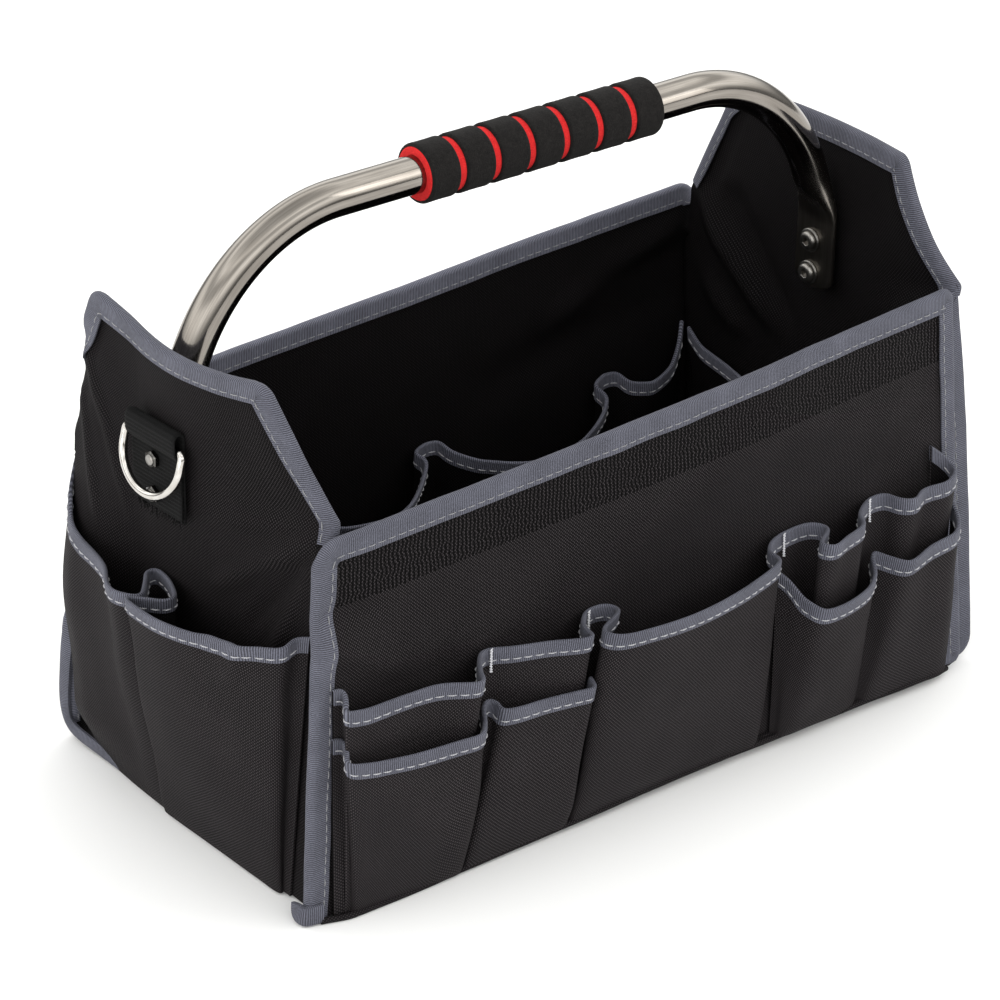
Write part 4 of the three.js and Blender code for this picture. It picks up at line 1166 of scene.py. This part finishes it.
def edge_stations(corners, radii, spacing):
    """Places along a path with rounded corners in a wall's own plane, each with its inward direction; radii
    has one radius for each corner between the ends."""
    stations = []
    start = np.array(corners[0], float)
    for k in range(1, len(corners)):
        before, here = np.array(corners[k - 1], float), np.array(corners[k], float)
        direction = unit(here - before)
        inward = np.array([direction[1], -direction[0]])
        stop, bend = here, None
        if k + 1 < len(corners):
            radius = radii[k - 1]
            onward = unit(np.array(corners[k + 1], float) - here)
            angle = math.acos(np.clip(direction.dot(onward), -1, 1))
            setback = radius * math.tan(angle / 2)
            stop = here - direction * setback
            bend = (angle, stop + inward * radius, here + onward * setback)
        count = max(1, round(np.linalg.norm(stop - start) / spacing))
        for s in range(count + 1):
            stations.append((*mix(start, stop, s / count), *inward))
        if bend:
            steps = max(3, round(bend[0] / 0.09))
            for s in range(1, steps):
                c, n = math.cos(-bend[0] * s / steps), math.sin(-bend[0] * s / steps)
                turned = np.array([inward[0] * c - inward[1] * n, inward[0] * n + inward[1] * c])
                stations.append((*(bend[1] - turned * radius), *turned))
            start = bend[2]
    return np.array(stations)


def tape_profile(width, inner_width, outer, inner, thickness):
    """Depths inward from the fold and offsets across the cloth, down the outside of folded tape and back up
    its inside; each of the sizes but the thickness is an array with a value for each station."""
    shares = np.array([1, 0.82, 0.64, 0.46, 0.28, 0.1])
    turn = np.linspace(0.5, -0.5, 9) * math.pi
    start = (outer + inner) / 2
    middle = (outer - inner) / 2
    sides = []
    for trim in (0, thickness):
        radius = start - trim
        top = [(mix(start, width, s), outer - trim) for s in shares]
        fold = [(start - radius * math.cos(a), middle + radius * math.sin(a)) for a in turn]
        low = [(mix(start, inner_width, s), trim - inner) for s in shares[::-1]]
        sides.append(top + fold + low)
    return np.array(sides).transpose(2, 0, 3, 1)


def fold_tape(name, travel, place, profile, look):
    """Folded tape; place gives its points from depths inward and offsets across the cloth."""
    depth, offset = profile
    across = run_length(np.stack([depth[0][0], offset[0][0]], axis=-1))
    uv = paired(travel[:, None], across[None, :])
    return slab(name, place(depth[0], offset[0]), place(depth[1], offset[1]), look, uv)


def sew(name, place, reach, face, material, radius):
    """Row of stitches on folded tape, at a depth inward and an offset across the cloth."""
    reach, face = reach[:, None], face[:, None]
    line = place(reach, face)[:, 0]
    above = place(reach, face + np.sign(face))[:, 0]
    mount(stitches(name, line, unit(above - line), material, radius), "tape")


def make_tape(name, stations, wall, width, inner_width, outer, inner, nodes=(), look=TAPE_LOOK):
    """Folded tape along stations of a wall's edge, with a row of stitches on each side."""
    a, b, in_a, in_b = stations.T
    travel = run_length(np.stack([a, b], axis=-1))
    width = width + 0.55 * wander(travel, 0, 21, 21)
    inner_width = inner_width + 0.3 * wander(travel, 9, 31, 22)
    outer, inner = np.broadcast_to(outer, a.shape), np.broadcast_to(inner, a.shape)
    ripple = 0.28 * wander(travel, 4, 15, 23)[:, None]

    def place(d, o):
        return wall(a[:, None] + d * in_a[:, None], b[:, None] + d * in_b[:, None], o + ripple)

    profile = tape_profile(width, inner_width, outer, inner, TAPE)
    mount(fold_tape(name, travel, place, profile, look), "tape", *nodes)
    sew(f"{name}_stitches_out", place, TAPE_SEAM * width, outer, GREY_THREAD_LOOK, TAPE_THREAD_RADIUS)
    sew(f"{name}_stitches_in", place, TAPE_SEAM * inner_width, -inner, GREY_THREAD_LOOK, TAPE_THREAD_RADIUS)


def make_long_binding(name, wall, drop, right_extra, look):
    left_foot = FOOT if right_extra else SEAM_TAPE_FOOT
    foot_edge = edge_half_length(FOOT) + right_extra
    corners = [(-edge_half_length(left_foot), left_foot)]
    for edge in (-TOP_HALF_LENGTH, TOP_HALF_LENGTH + right_extra):
        corners.append((edge, wall_top(edge) - drop))
    corners.append((foot_edge, FOOT))
    if right_extra:
        corners.append((foot_edge - 14, FOOT))
    radii = (CORNER_RADIUS, CORNER_RADIUS - 7 * (right_extra > 0), FOOT_RADIUS)
    stations = edge_stations(corners, radii, 4)
    thick = ease(wall_top(stations[:, 0]) - drop - stations[:, 1], 6, 14)
    make_tape(f"{name}_tape", stations, wall, TAPE_WIDTH, mix(TAPE_WIDTH, SEAM_INNER_WIDTH, thick), TAPE_HALF,
              mix(TAPE_HALF, SEAM_TAPE_HALF, thick), [name], look)


make_long_binding("front_binding", front_wall, 0, RIGHT_EXTRA, TAPE_LOOK)
# The back binding takes the lighter tape copy as painted light.
make_long_binding("back_binding", back_wall, BACK_DROP, 0, LIT_INNER_TAPE_LOOK)

# Heights of the front and back ends of the end walls' tape
END_FEET = {"left": (197, 203), "right": (203, 214)}


def make_end_binding(name):
    """Tape over an end wall's top, narrower where it goes behind the wall or in beside the long wall."""
    side = END[name]["side"]
    front, back = END_FEET[name]
    edge = SLOPE_FOOT_HALF - 0.6
    corners = [(-edge - 1, front), (-SLOPE_FOOT_HALF, WALL_TOP), (-END_TOP_HALF, END_TOP),
               (END_TOP_HALF, END_TOP)]
    if back > WALL_TOP:
        corners.append((float(shoulder_half(back)), back))
    else:
        corners += [(SLOPE_FOOT_HALF, WALL_TOP), (edge, back)]
    radii = (CORNER_RADIUS, SHOULDER_RADIUS, CORNER_RADIUS, CORNER_RADIUS)
    stations = edge_stations(corners, radii, 3)
    y, z = stations[:, 0], stations[:, 1]
    hidden = ease(z, 258, 222) * (y > 0) * (side < 0)
    slim = ease(z, 272, 258) * (y > 0) * (side > 0)
    width = TAPE_WIDTH * np.where(y < 0, mix(0.62, 1, ease(z, WALL_TOP, WALL_TOP + 55)), 1)
    make_tape(f"{name}_end_binding_tape", stations, along_wall(name, 1), width * (1 - 0.62 * hidden),
              width * (1 - 0.4 * slim), END_TAPE_HALF, END_TAPE_HALF, [f"{name}_end_binding"])


for end_name in END:
    make_end_binding(end_name)


def make_ribbon(name, rows, width, thickness):
    """Flat end of tape through rows of a point on its edge and a direction across it, going from one width
    and thickness to another."""
    path = np.array([point for point, direction in rows], float)
    across = np.array([direction for point, direction in rows], float)
    known = run_length(path)
    count, strips = 40, 10
    at = np.linspace(0, known[-1], count)
    line = blurred(resample(path, at, known), 2.5)
    across = unit(blurred(resample(across, at, known), 2.5))
    share = np.linspace(0, 1, count)[:, None]
    offset = np.linspace(0, 1, strips) * mix(*width, share)
    middle = line[:, None] + across[:, None] * offset[..., None]
    edge = np.sin(np.linspace(0.12, 0.88, strips) * math.pi) ** 0.5
    piece = thick_slab(name, middle, mix(*thickness, share) * edge, TAPE_LOOK, paired(at[:, None], offset))
    mount(piece, "tape")


# End of the tape at the left back corner: a point on its edge, then the direction across it
LEFT_BACK_TAIL = (
    ((-196, 121, 80), (0.5, -1, 0)),
    ((-203, 117.5, 68), (0.2, -1, 0)),
    ((-205.5, 116.5, 56), (0, -1, 0)),
    ((-205.5, 117.2, 42.4), (0, -1, 0)),
    ((-205.5, 119.6, 29), (0, -1, 0.1)),
    ((-205, 118.5, 13.5), (0, -0.8, 0.5)),
    ((-203.5, 117, 5), (0, -0.2, 1)),
    ((-201.5, 96, 2.4), (0, 0, 1)),
    ((-202, 66, 1.4), (0, 0, 1)),
)


def make_corner_tape():
    """Second fold of tape behind the right front corner."""
    edge = BASE_HALF_LENGTH + RIGHT_EXTRA + 13
    foot, depth = 1.2, 6.5
    corners = [(edge - 27, foot), (edge, foot), (edge, 70), (edge, 130), (edge - 6, 206)]
    stations = edge_stations([(-a, b) for a, b in corners], (11, 9, 9), 3) * [-1, 1, -1, 1]
    make_tape("right_corner_tape", stations, lambda x, z, out: front_wall(x, z, out - depth), 13, 9,
              TAPE_HALF, TAPE_HALF)


def make_left_tails():
    """The tape's ends at the left corners, under the end wall."""
    foot = 1.2
    toe = front_wall(-211, foot, 2)
    front_tail = (
        (front_wall(-202, foot, 3.2), (0, 0, 1)),
        (toe, (0, 0, 1)),
        (toe + (-1, 6, 0.3), (0, -0.3, 1)),
        (toe + (0, 10, 3), (0, -0.8, 0.6)),
        (toe + (1, 11, 8), (0, -1, 0.2)),
    )
    make_ribbon("left_front_tail_tape", front_tail, (10, 10), (3.6, 3.0))
    make_ribbon("left_back_tail_tape", LEFT_BACK_TAIL, (9, 6), (3.4, 1.8))


make_corner_tape()
make_left_tails()


# Pocket strips

def strip_columns(table, spacing=1.3, rounding=1.3):
    """Close columns along a pocket strip: a smooth curve through the rows of its table."""
    rows = np.array(table, float)
    edge, seam = rows[:, [0, 1]], rows[:, [3, 4]]
    per_row = 16
    t = np.linspace(0, len(rows) - 1, (len(rows) - 1) * per_row + 1)

    def curve(points):
        padded = np.concatenate([2 * points[:1] - points[1:2], points, 2 * points[-1:] - points[-2:-1]])
        span = np.minimum(np.floor(t).astype(int), len(points) - 2)
        share = (t - span)[:, None]
        p = [padded[span + k] for k in range(4)]
        knot = [np.zeros(len(t))[:, None]]
        for k in range(3):
            gap = np.linalg.norm(p[k + 1] - p[k], axis=1, keepdims=True) ** 0.5
            knot.append(knot[-1] + np.maximum(gap, 1e-4))
        where = mix(knot[1], knot[2], share)

        def between(a, b, ka, kb):
            return (a * (kb - where) + b * (where - ka)) / (kb - ka)
        first = [between(p[k], p[k + 1], knot[k], knot[k + 1]) for k in range(3)]
        second = [between(first[k], first[k + 1], knot[k], knot[k + 2]) for k in range(2)]
        return between(second[0], second[1], knot[1], knot[2])

    edge, seam = curve(edge), curve(seam)
    top = np.interp(t, np.arange(len(rows)), rows[:, 2])
    everything = np.column_stack([edge, seam, top])
    known = run_length(edge)
    count = int(known[-1] / spacing)
    everything = resample(everything, np.linspace(0, known[-1], count), known)
    everything = blurred(everything, rounding)
    return {"edge": everything[:, :2], "seam": everything[:, 2:4], "top": everything[:, 4],
            "travel": run_length(everything[:, :2])}


def strip_plan(columns, z):
    """Place along and outward of every column at a height for each column."""
    t = np.maximum(0, (z - FOOT) / (columns["top"][:, None] - FOOT))
    along = mix(columns["seam"][:, :1], columns["edge"][:, :1], t)
    out = mix(columns["seam"][:, 1:], columns["edge"][:, 1:], t ** POCKET_SWELL)
    return along, out


def strip_place(columns, z, offset, wall, seed):
    """Points at a height for each column, moved out from the middle of the strip's cloth."""
    along, out = strip_plan(columns, z)
    run = unit(np.stack([np.gradient(along, axis=0), np.gradient(out, axis=0)], axis=-1))
    s = columns["travel"][:, None]
    deep = ease(columns["top"][:, None] - z, 10, 35) * ease(z, FOOT, FOOT + 20)
    soft = deep * (0.9 * wander(s, z * 0.35, 24, seed) + 0.9 * wander(s, z, 46, seed + 1))
    offset = offset + soft * ease(out, 6, 12)
    return wall(along - run[..., 1] * offset, z, out + run[..., 0] * offset)


def make_pocket(name, binding, table, wall, look, seed):
    columns = strip_columns(table)
    top, travel = columns["top"][:, None], columns["travel"]
    z = mix(FOOT, top, np.linspace(0, 1, 28)[None, :])
    faces = [strip_place(columns, z, side * CLOTH / 2, wall, seed) for side in (1, -1)]
    # One face of the strip takes the painted-shade cloth.
    shaded_set = 1 if table[0][0] < table[-1][0] else 0
    piece = slab(f"{name}_cloth", *faces, look, paired(travel[:, None], z), INSIDE_SHADE_LOOK, shaded_set)
    mount(piece, "cloth", name)
    girth = run_length((columns["edge"] + columns["seam"]) / 2)[-1]

    half = np.full(len(top), CLOTH / 2 + POCKET_GAP + POCKET_TAPE)
    width = POCKET_TAPE_WIDTH + 0.3 * wander(travel, seed, 22, 31)
    crest = top + POCKET_TAPE + POCKET_GAP + 0.35 * wander(travel, seed, 30, 32)[:, None]

    def place(d, o):
        return strip_place(columns, crest - d, o, wall, seed)

    profile = tape_profile(width, width, half, half, POCKET_TAPE)
    # Tape on the inside pockets takes the lighter copy as painted light.
    tape_look = LIT_INNER_TAPE_LOOK if look is INSIDE_SHADE_LOOK else TAPE_LOOK
    mount(fold_tape(f"{binding}_tape", travel, place, profile, tape_look), "tape", binding)
    for label, face in (("out", half), ("in", -half)):
        sew(f"{binding}_stitches_{label}", place, POCKET_SEAM * width, face, THREAD_LOOK, THREAD_RADIUS)


POCKETS = (
    ("front_upper_pocket", "front_upper_pocket_binding", FRONT_UPPER, front_wall, LIT_POCKET_LOOK),
    ("front_lower_left_pocket", "front_lower_left_binding", FRONT_LOWER_LEFT, front_wall, LIT_POCKET_LOOK),
    ("front_lower_right_pocket", "front_lower_right_binding", FRONT_LOWER_RIGHT, front_wall, LIT_POCKET_LOOK),
    ("left_end_pocket", "left_end_pocket_binding", LEFT_END, along_wall("left", 1), LIT_END_POCKET_LOOK),
    ("right_end_pocket", "right_end_pocket_binding", RIGHT_END, along_wall("right", 1), LIT_END_POCKET_LOOK),
    # The pockets inside the bag are made wholly of the painted-shade cloth.
    ("inner_back_pocket", "inner_back_binding", INNER_BACK, back_wall_inside, INSIDE_SHADE_LOOK),
    ("inner_right_pocket", "inner_right_binding", INNER_RIGHT, along_wall("right", -1), INSIDE_SHADE_LOOK),
)
FIRST_POCKET_SEED = 41

for number, pocket in enumerate(POCKETS):
    make_pocket(*pocket, FIRST_POCKET_SEED + 2 * number)

# Zigzag bars of thread where the front pockets are sewn to the wall
BARTACKS = {"first": -106, "second": -45, "third": 84, "fourth": 144}


def make_bartack(name, along):
    turns = 19
    k = np.arange(turns)
    place = along + 0.75 * (-1.0) ** k + 0.15 * wander(k * 3.1, 0, 2, 71)
    path = front_wall(place, 118.4 - 0.7 * k, 6.6 + 0.25 * (k % 2))
    known = run_length(path)
    path = resample(path, np.linspace(0, known[-1], turns * 4), known)
    mount(tube(f"{name}_bartack", path, 0.36, 6, WHITE_THREAD_LOOK), "tape")


for bar_name, bar_along in BARTACKS.items():
    make_bartack(bar_name, bar_along)

# Handle
HANDLE_PLACE = Matrix.Translation((HANDLE_X, HANDLE_Y, 0)) @ Matrix.Rotation(HANDLE_YAW, 4, "Z")


def handle_points(points):
    place = np.array(HANDLE_PLACE)
    return points @ place[:3, :3].T + place[:3, 3]


def make_handle():
    """Tube whose pressed ends widen into flat plates; a station is x, z, half width and half depth."""
    stations = []
    for angle in np.linspace(0, math.pi / 2, 14):
        z = PLATE_BOTTOM + PLATE_HALF_WIDTH * 0.5 * (1 - math.cos(angle))
        width = PLATE_HALF_WIDTH * mix(0.08, 1, math.sin(angle))
        stations.append((PLATE_X, z, width, PLATE_HALF_THICKNESS))
    for z in np.linspace(stations[-1][1] + 2, PLATE_TOP - PLATE_BLEND - 1, 12):
        stations.append((PLATE_X, z, PLATE_HALF_WIDTH, PLATE_HALF_THICKNESS))
    for angle in np.linspace(0, math.pi / 2, 90):
        if angle < LEG_ANGLE:
            z = mix(PLATE_TOP - PLATE_BLEND, BEND_FOOT, angle / LEG_ANGLE)
        else:
            z = BEND_FOOT + BEND_HEIGHT * math.sin(angle - LEG_ANGLE * math.cos(angle))
        bend = LEG_X - BEND_LENGTH + BEND_LENGTH * math.cos(angle)
        rounded = float(ease(z, PLATE_TOP - PLATE_BLEND, ROUND_FROM))
        stations.append((mix(PLATE_X, bend, rounded), z, mix(PLATE_HALF_WIDTH, TUBE_RADIUS, rounded),
                         mix(PLATE_HALF_THICKNESS, TUBE_RADIUS, rounded)))
    half = np.array(stations)
    middle = np.repeat(half[-1:], 60, axis=0)
    middle[:, 0] = np.linspace(half[-1, 0] - 2, 2 - half[-1, 0], len(middle))
    path = np.concatenate([half, middle, half[::-1] * [-1, 1, 1, 1]])
    run = unit(np.gradient(path[:, :2], axis=0))
    round_share = (path[:, 3] - PLATE_HALF_THICKNESS) / (TUBE_RADIUS - PLATE_HALF_THICKNESS)
    flat_across = np.stack([np.sign(path[:, 0]), 0 * path[:, 0]], axis=-1)
    round_across = np.stack([run[:, 1], -run[:, 0]], axis=-1)
    across = unit(mix(flat_across, round_across, smooth(round_share * 1.4)[:, None]))
    power = mix(0.5, 1.0, smooth(round_share))[:, None]
    angle = np.linspace(0, 2 * np.pi, 56, endpoint=False)[None, :]
    c = np.sign(np.cos(angle)) * np.abs(np.cos(angle)) ** power
    s = np.sign(np.sin(angle)) * np.abs(np.sin(angle)) ** power
    out = c * path[:, 3:4]
    rings = np.stack([
        path[:, :1] + across[:, :1] * out,
        s * path[:, 2:3],
        path[:, 1:2] + across[:, 1:] * out,
    ], axis=-1)
    length = run_length(path[:, :2])
    from_end = np.minimum(length, length[-1] - length)
    uv = paired(from_end[:, None], angle * TUBE_RADIUS)
    piece = sweep("handle_tube_steel", handle_points(rings), STEEL_LOOK, uv.reshape(-1, 2))
    mount(piece, "tube", "handle_tube")


make_handle()


# Foam grip

def rounded_ring(inner, outer, start, end, radius):
    """Closed (radius, x) profile of a ring with rounded outer edges."""
    turn = np.linspace(0, math.pi / 2, 6)
    profile = [(inner, start)]
    profile += [(outer - radius + radius * math.sin(a), start + radius - radius * math.cos(a)) for a in turn]
    profile += [(outer - 0.12, mix(start, end, 0.35)), (outer - 0.12, mix(start, end, 0.65))]
    profile += [(outer - radius + radius * math.cos(a), end - radius + radius * math.sin(a)) for a in turn]
    profile += [(inner, end)]
    return profile


def make_grip():
    place = HANDLE_PLACE @ Matrix.Translation((0, 0, HANDLE_Z))
    clearance, setback = 0.05, 0.4
    profile = rounded_ring(TUBE_RADIUS + clearance, GRIP_CORE_RADIUS, GRIP_START, GRIP_END, 1.0)
    core = lathe("grip_core_foam", profile, place, RED_FOAM_LOOK, 80)
    mount(core, "red_foam", "grip_core")
    pitch = (GRIP_END - GRIP_START + GRIP_GROOVE) / GRIP_RINGS
    for k in range(GRIP_RINGS):
        start = max(GRIP_START + setback, GRIP_START + k * pitch)
        end = min(GRIP_END - setback, GRIP_START + (k + 1) * pitch - GRIP_GROOVE)
        profile = rounded_ring(GRIP_CORE_RADIUS + clearance, GRIP_RADIUS, start, end, 1.5)
        name = f"grip_ring_{k + 1}"
        ring = lathe(f"{name}_foam", profile, place, BLACK_FOAM_LOOK, 80)
        mount(ring, "black_foam", name)


make_grip()


# D-rings and their webbing

def ring_reach(name):
    return float(end_reach(name, RING_Y[name], RING_Z + 4))


def make_loop(name):
    """Webbing up from its foot, over the ring's bar and down again in front."""
    side = END[name]["side"]
    reach = ring_reach(name)
    path = [(WEB_BACK, WEBBING_FOOT), (WEB_BACK, RING_Z - 4)]
    for angle in np.linspace(1, -0.25, 20) * math.pi:
        z = RING_Z + (LOOP_RISE if angle >= 0 else 0)
        path.append((BAR_OUT + LOOP_RADIUS * math.cos(angle), z + LOOP_RADIUS * math.sin(angle)))
    path += [(WEB_FRONT, RING_Z - 5.4), (WEB_FRONT, WEBBING_FOOT + 2)]
    path = np.array(path)
    known = run_length(path)
    path = blurred(resample(path, np.linspace(0, known[-1], 200), known), 1.2)
    travel = run_length(path)
    run = unit(np.gradient(path, axis=0))
    rib = 0.16 * np.sin(travel * 2 * math.pi / 2.1)
    across = np.linspace(-1, 1, 40)
    edge = 1 - 0.45 * ease(np.abs(across), 0.94, 1)
    y = RING_Y[name] + across[:, None] * WEBBING_HALF_WIDTH
    y = y + 0.2 * wander(travel[None, :], across[:, None], 9, 61)
    grids = []
    for sign in (1, -1):
        offset = sign * (WEBBING / 2 + rib)[None, :] * edge[:, None]
        out = path[None, :, 0] - run[None, :, 1] * offset
        z = path[None, :, 1] + run[None, :, 0] * offset
        grids.append(np.stack([side * (reach + out) + TOP_SWAY, y, z], axis=-1))
    uv = paired((across * WEBBING_HALF_WIDTH)[:, None], travel[None, :])
    piece = slab(f"{name}_ring_loop_web", *grids, WEBBING_LOOK, uv)
    mount(piece, "webbing", f"{name}_ring_loop")


def make_fringe(name):
    """Loose yarns at the cut end of a ring's webbing."""
    count, steps, sides = 90, 5, 4

    def draw(kind):
        """A number from 0 to 1 for each yarn."""
        return lattice(np.arange(count), kind, 3)[:, None]

    t = np.linspace(0, 1, steps)[None, :]
    across = (draw(1) * 2 - 1) * WEBBING_HALF_WIDTH
    length = mix(1.5, 6.5, draw(2) ** 2)
    lean = draw(3) * 2 - 1
    curl = draw(4) * 2 - 1
    y = RING_Y[name] + across + lean * 2.5 * t + curl * 1.4 * t ** 2
    z = WEBBING_FOOT + 2.6 - length * t
    out = ring_reach(name) + WEB_FRONT + 0.6 * (draw(5) - 0.5) + 1.3 * draw(6) * t
    middle = np.stack([END[name]["side"] * out + TOP_SWAY, y, z], axis=-1)
    angle = np.linspace(0, 2 * np.pi, sides, endpoint=False)
    turn = np.stack([np.cos(angle), np.sin(angle), 0 * angle], axis=-1)
    rings = middle[:, :, None] + YARN_RADIUS * turn
    uv = np.zeros((count * steps * sides, 2))
    mount(strands(f"{name}_ring_loop_fringe", rings, WEBBING_LOOK, uv), "webbing")


def make_d_ring(name):
    side = END[name]["side"]
    corner, leg = RING_CORNER, RING_LEG
    path = [(y, 0.0) for y in np.linspace(corner - RING_HALF_WIDTH, RING_HALF_WIDTH - corner, 24)]
    for angle in np.linspace(math.pi / 2, 0, 9)[1:]:
        path.append((RING_HALF_WIDTH - corner + corner * math.cos(angle), corner * (math.sin(angle) - 1)))
    for angle in np.linspace(0, math.pi, 60):
        path.append((RING_HALF_WIDTH * math.cos(angle),
                     -corner - leg - (RING_DROP - corner - leg) * math.sin(angle)))
    for angle in np.linspace(math.pi, math.pi / 2, 9)[:-1]:
        path.append((-RING_HALF_WIDTH + corner + corner * math.cos(angle), corner * (math.sin(angle) - 1)))
    path = np.array(path)
    tilt = side * -RING_TILT
    x = side * (ring_reach(name) + BAR_OUT) + TOP_SWAY
    points = np.stack([x + path[:, 1] * math.sin(tilt), RING_Y[name] + path[:, 0],
                       RING_Z + path[:, 1] * math.cos(tilt)], axis=-1)
    piece = tube(f"{name}_d_ring_wire", points, RING_FULL_WIRE, 20, PLATED_LOOK, closed=True)
    mount(piece, "hardware", f"{name}_d_ring", body=f"{name}_ring")


for end_name in END:
    make_d_ring(end_name)
    make_loop(end_name)
    make_fringe(end_name)


# Bolts, washers and nuts

def make_bolt(name, level):
    """Button-head bolt with its washer inside the handle's plate and its nut on the webbing outside."""
    side = END[name]["side"]
    plate = (HANDLE_PLACE @ Vector((side * PLATE_X, 0, BOLT_HEIGHTS[level]))).x
    inside = abs(plate) - PLATE_HALF_THICKNESS - GAP
    web_face = ring_reach(name) + side * TOP_SWAY + WEB_FRONT + WEBBING / 2 + GAP
    nut_end = web_face + NUT_HEIGHT
    head = inside - WASHER_THICKNESS - GAP
    crown = head - HEAD_HEIGHT
    end = nut_end + 0.8
    place = Matrix.Translation((0, BOLT_Y[name], BOLT_HEIGHTS[level]))
    if side < 0:
        place = place @ Matrix.Rotation(math.pi, 4, "Z")
    bolt = [(0.01, crown + SOCKET_DEPTH), (SOCKET_RADIUS, crown + SOCKET_DEPTH),
            (SOCKET_RADIUS, crown + 0.15), (SOCKET_RADIUS + 0.2, crown)]
    for angle in np.linspace(0, math.pi / 2, 12):
        bolt.append((mix(HEAD_RADIUS * 0.5, HEAD_RADIUS, math.sin(angle)),
                     mix(crown, head - 0.7, 1 - math.cos(angle))))
    bolt += [(HEAD_RADIUS, head - 0.2), (HEAD_RADIUS - 0.2, head), (SHANK_RADIUS, head),
             (SHANK_RADIUS, end - 0.7), (SHANK_RADIUS - 0.25, end - 0.3),
             (SHANK_RADIUS - 0.9, end), (0.01, end)]
    washer = rounded_ring(HOLE_RADIUS, WASHER_RADIUS, inside - WASHER_THICKNESS, inside, 0.35)
    flat = NUT_RADIUS * 0.92
    nut = [(HOLE_RADIUS, web_face), (flat, web_face), (flat, nut_end - 0.6), (flat - 0.5, nut_end),
           (HOLE_RADIUS, nut_end)]
    pieces = {
        "bolt": lathe(f"{name}_{level}_bolt_plated", bolt, place, BOLT_LOOK, 48, 35, hexagon=(1, 2, 3)),
        "washer": lathe(f"{name}_{level}_washer_plated", washer, place, BOLT_LOOK, 48),
        "nut": lathe(f"{name}_{level}_nut_plated", nut, place, NUT_LOOK, 48, 25, hexagon=(1, 2)),
    }
    for kind, piece in pieces.items():
        mount(piece, "hardware", f"{name}_{level}_{kind}")


for end_name in END:
    for level_name in BOLT_HEIGHTS:
        make_bolt(end_name, level_name)


# Floor and light

def make_floor():
    size = 9000
    points = np.array([(-size, -size, 0), (size, -size, 0), (size, size, 0), (-size, size, 0)], float)
    shader = Shader("pale_floor", roughness=0.9, specular=0.1)
    speckle = shader.noise(shader.object_place(), 3.0, 2.0)
    colour = shader.colours(speckle, (0.3, (0.91, 0.91, 0.91)), (0.7, (0.93, 0.93, 0.93)))
    mesh = bpy.data.meshes.new("floor")
    mesh.from_pydata((points * MM).tolist(), [], [(0, 1, 2, 3)])
    mesh.materials.append(shader.finish(colour))
    floor = bpy.data.objects.new("floor", mesh)
    bpy.context.scene.collection.objects.link(floor)


def make_light(name, place, target, width, height, power, colour):
    lamp = bpy.data.lights.new(name, "AREA")
    lamp.shape = "RECTANGLE"
    lamp.size, lamp.size_y = width * MM, height * MM
    lamp.energy = power
    lamp.color = colour
    light = bpy.data.objects.new(name, lamp)
    direction = Vector(target) - Vector(place)
    light.location = Vector(place) * MM
    light.rotation_euler = direction.to_track_quat("-Z", "Y").to_euler()
    bpy.context.scene.collection.objects.link(light)


# Brightness of the studio by the height of a direction, from level to straight up
STUDIO = ((0.0, 0.12), (0.12, 0.2), (0.3, 0.75), (0.4, 1.0), (0.5, 0.95), (0.6, 0.5), (0.68, 0.5),
          (0.78, 1.0), (0.86, 0.7), (0.94, 0.45), (1.0, 0.4))
STUDIO_STRENGTH = 2.3


def make_world():
    world = bpy.data.worlds.new("studio")
    world.use_nodes = True
    tree = world.node_tree
    place = tree.nodes.new("ShaderNodeTexCoord")
    parts = tree.nodes.new("ShaderNodeSeparateXYZ")
    ramp = tree.nodes.new("ShaderNodeValToRGB")
    background = tree.nodes["Background"]
    tree.links.new(place.outputs["Generated"], parts.inputs[0])
    tree.links.new(parts.outputs[2], ramp.inputs[0])
    tree.links.new(ramp.outputs[0], background.inputs[0])
    set_stops(ramp.color_ramp, [(height, (level, level, level * 0.985)) for height, level in STUDIO])
    background.inputs[1].default_value = STUDIO_STRENGTH
    bpy.context.scene.world = world


make_floor()
make_world()
make_light("left_low", (-1700, -150, 330), (-200, 0, 100), 1300, 420, 6, (1.0, 0.99, 0.97))
make_light("right_strip", (1100, -1500, 1100), (40, 0, 250), 400, 1500, 4, (1.0, 0.98, 0.95))
bpy.context.scene.view_settings.view_transform = "Standard"
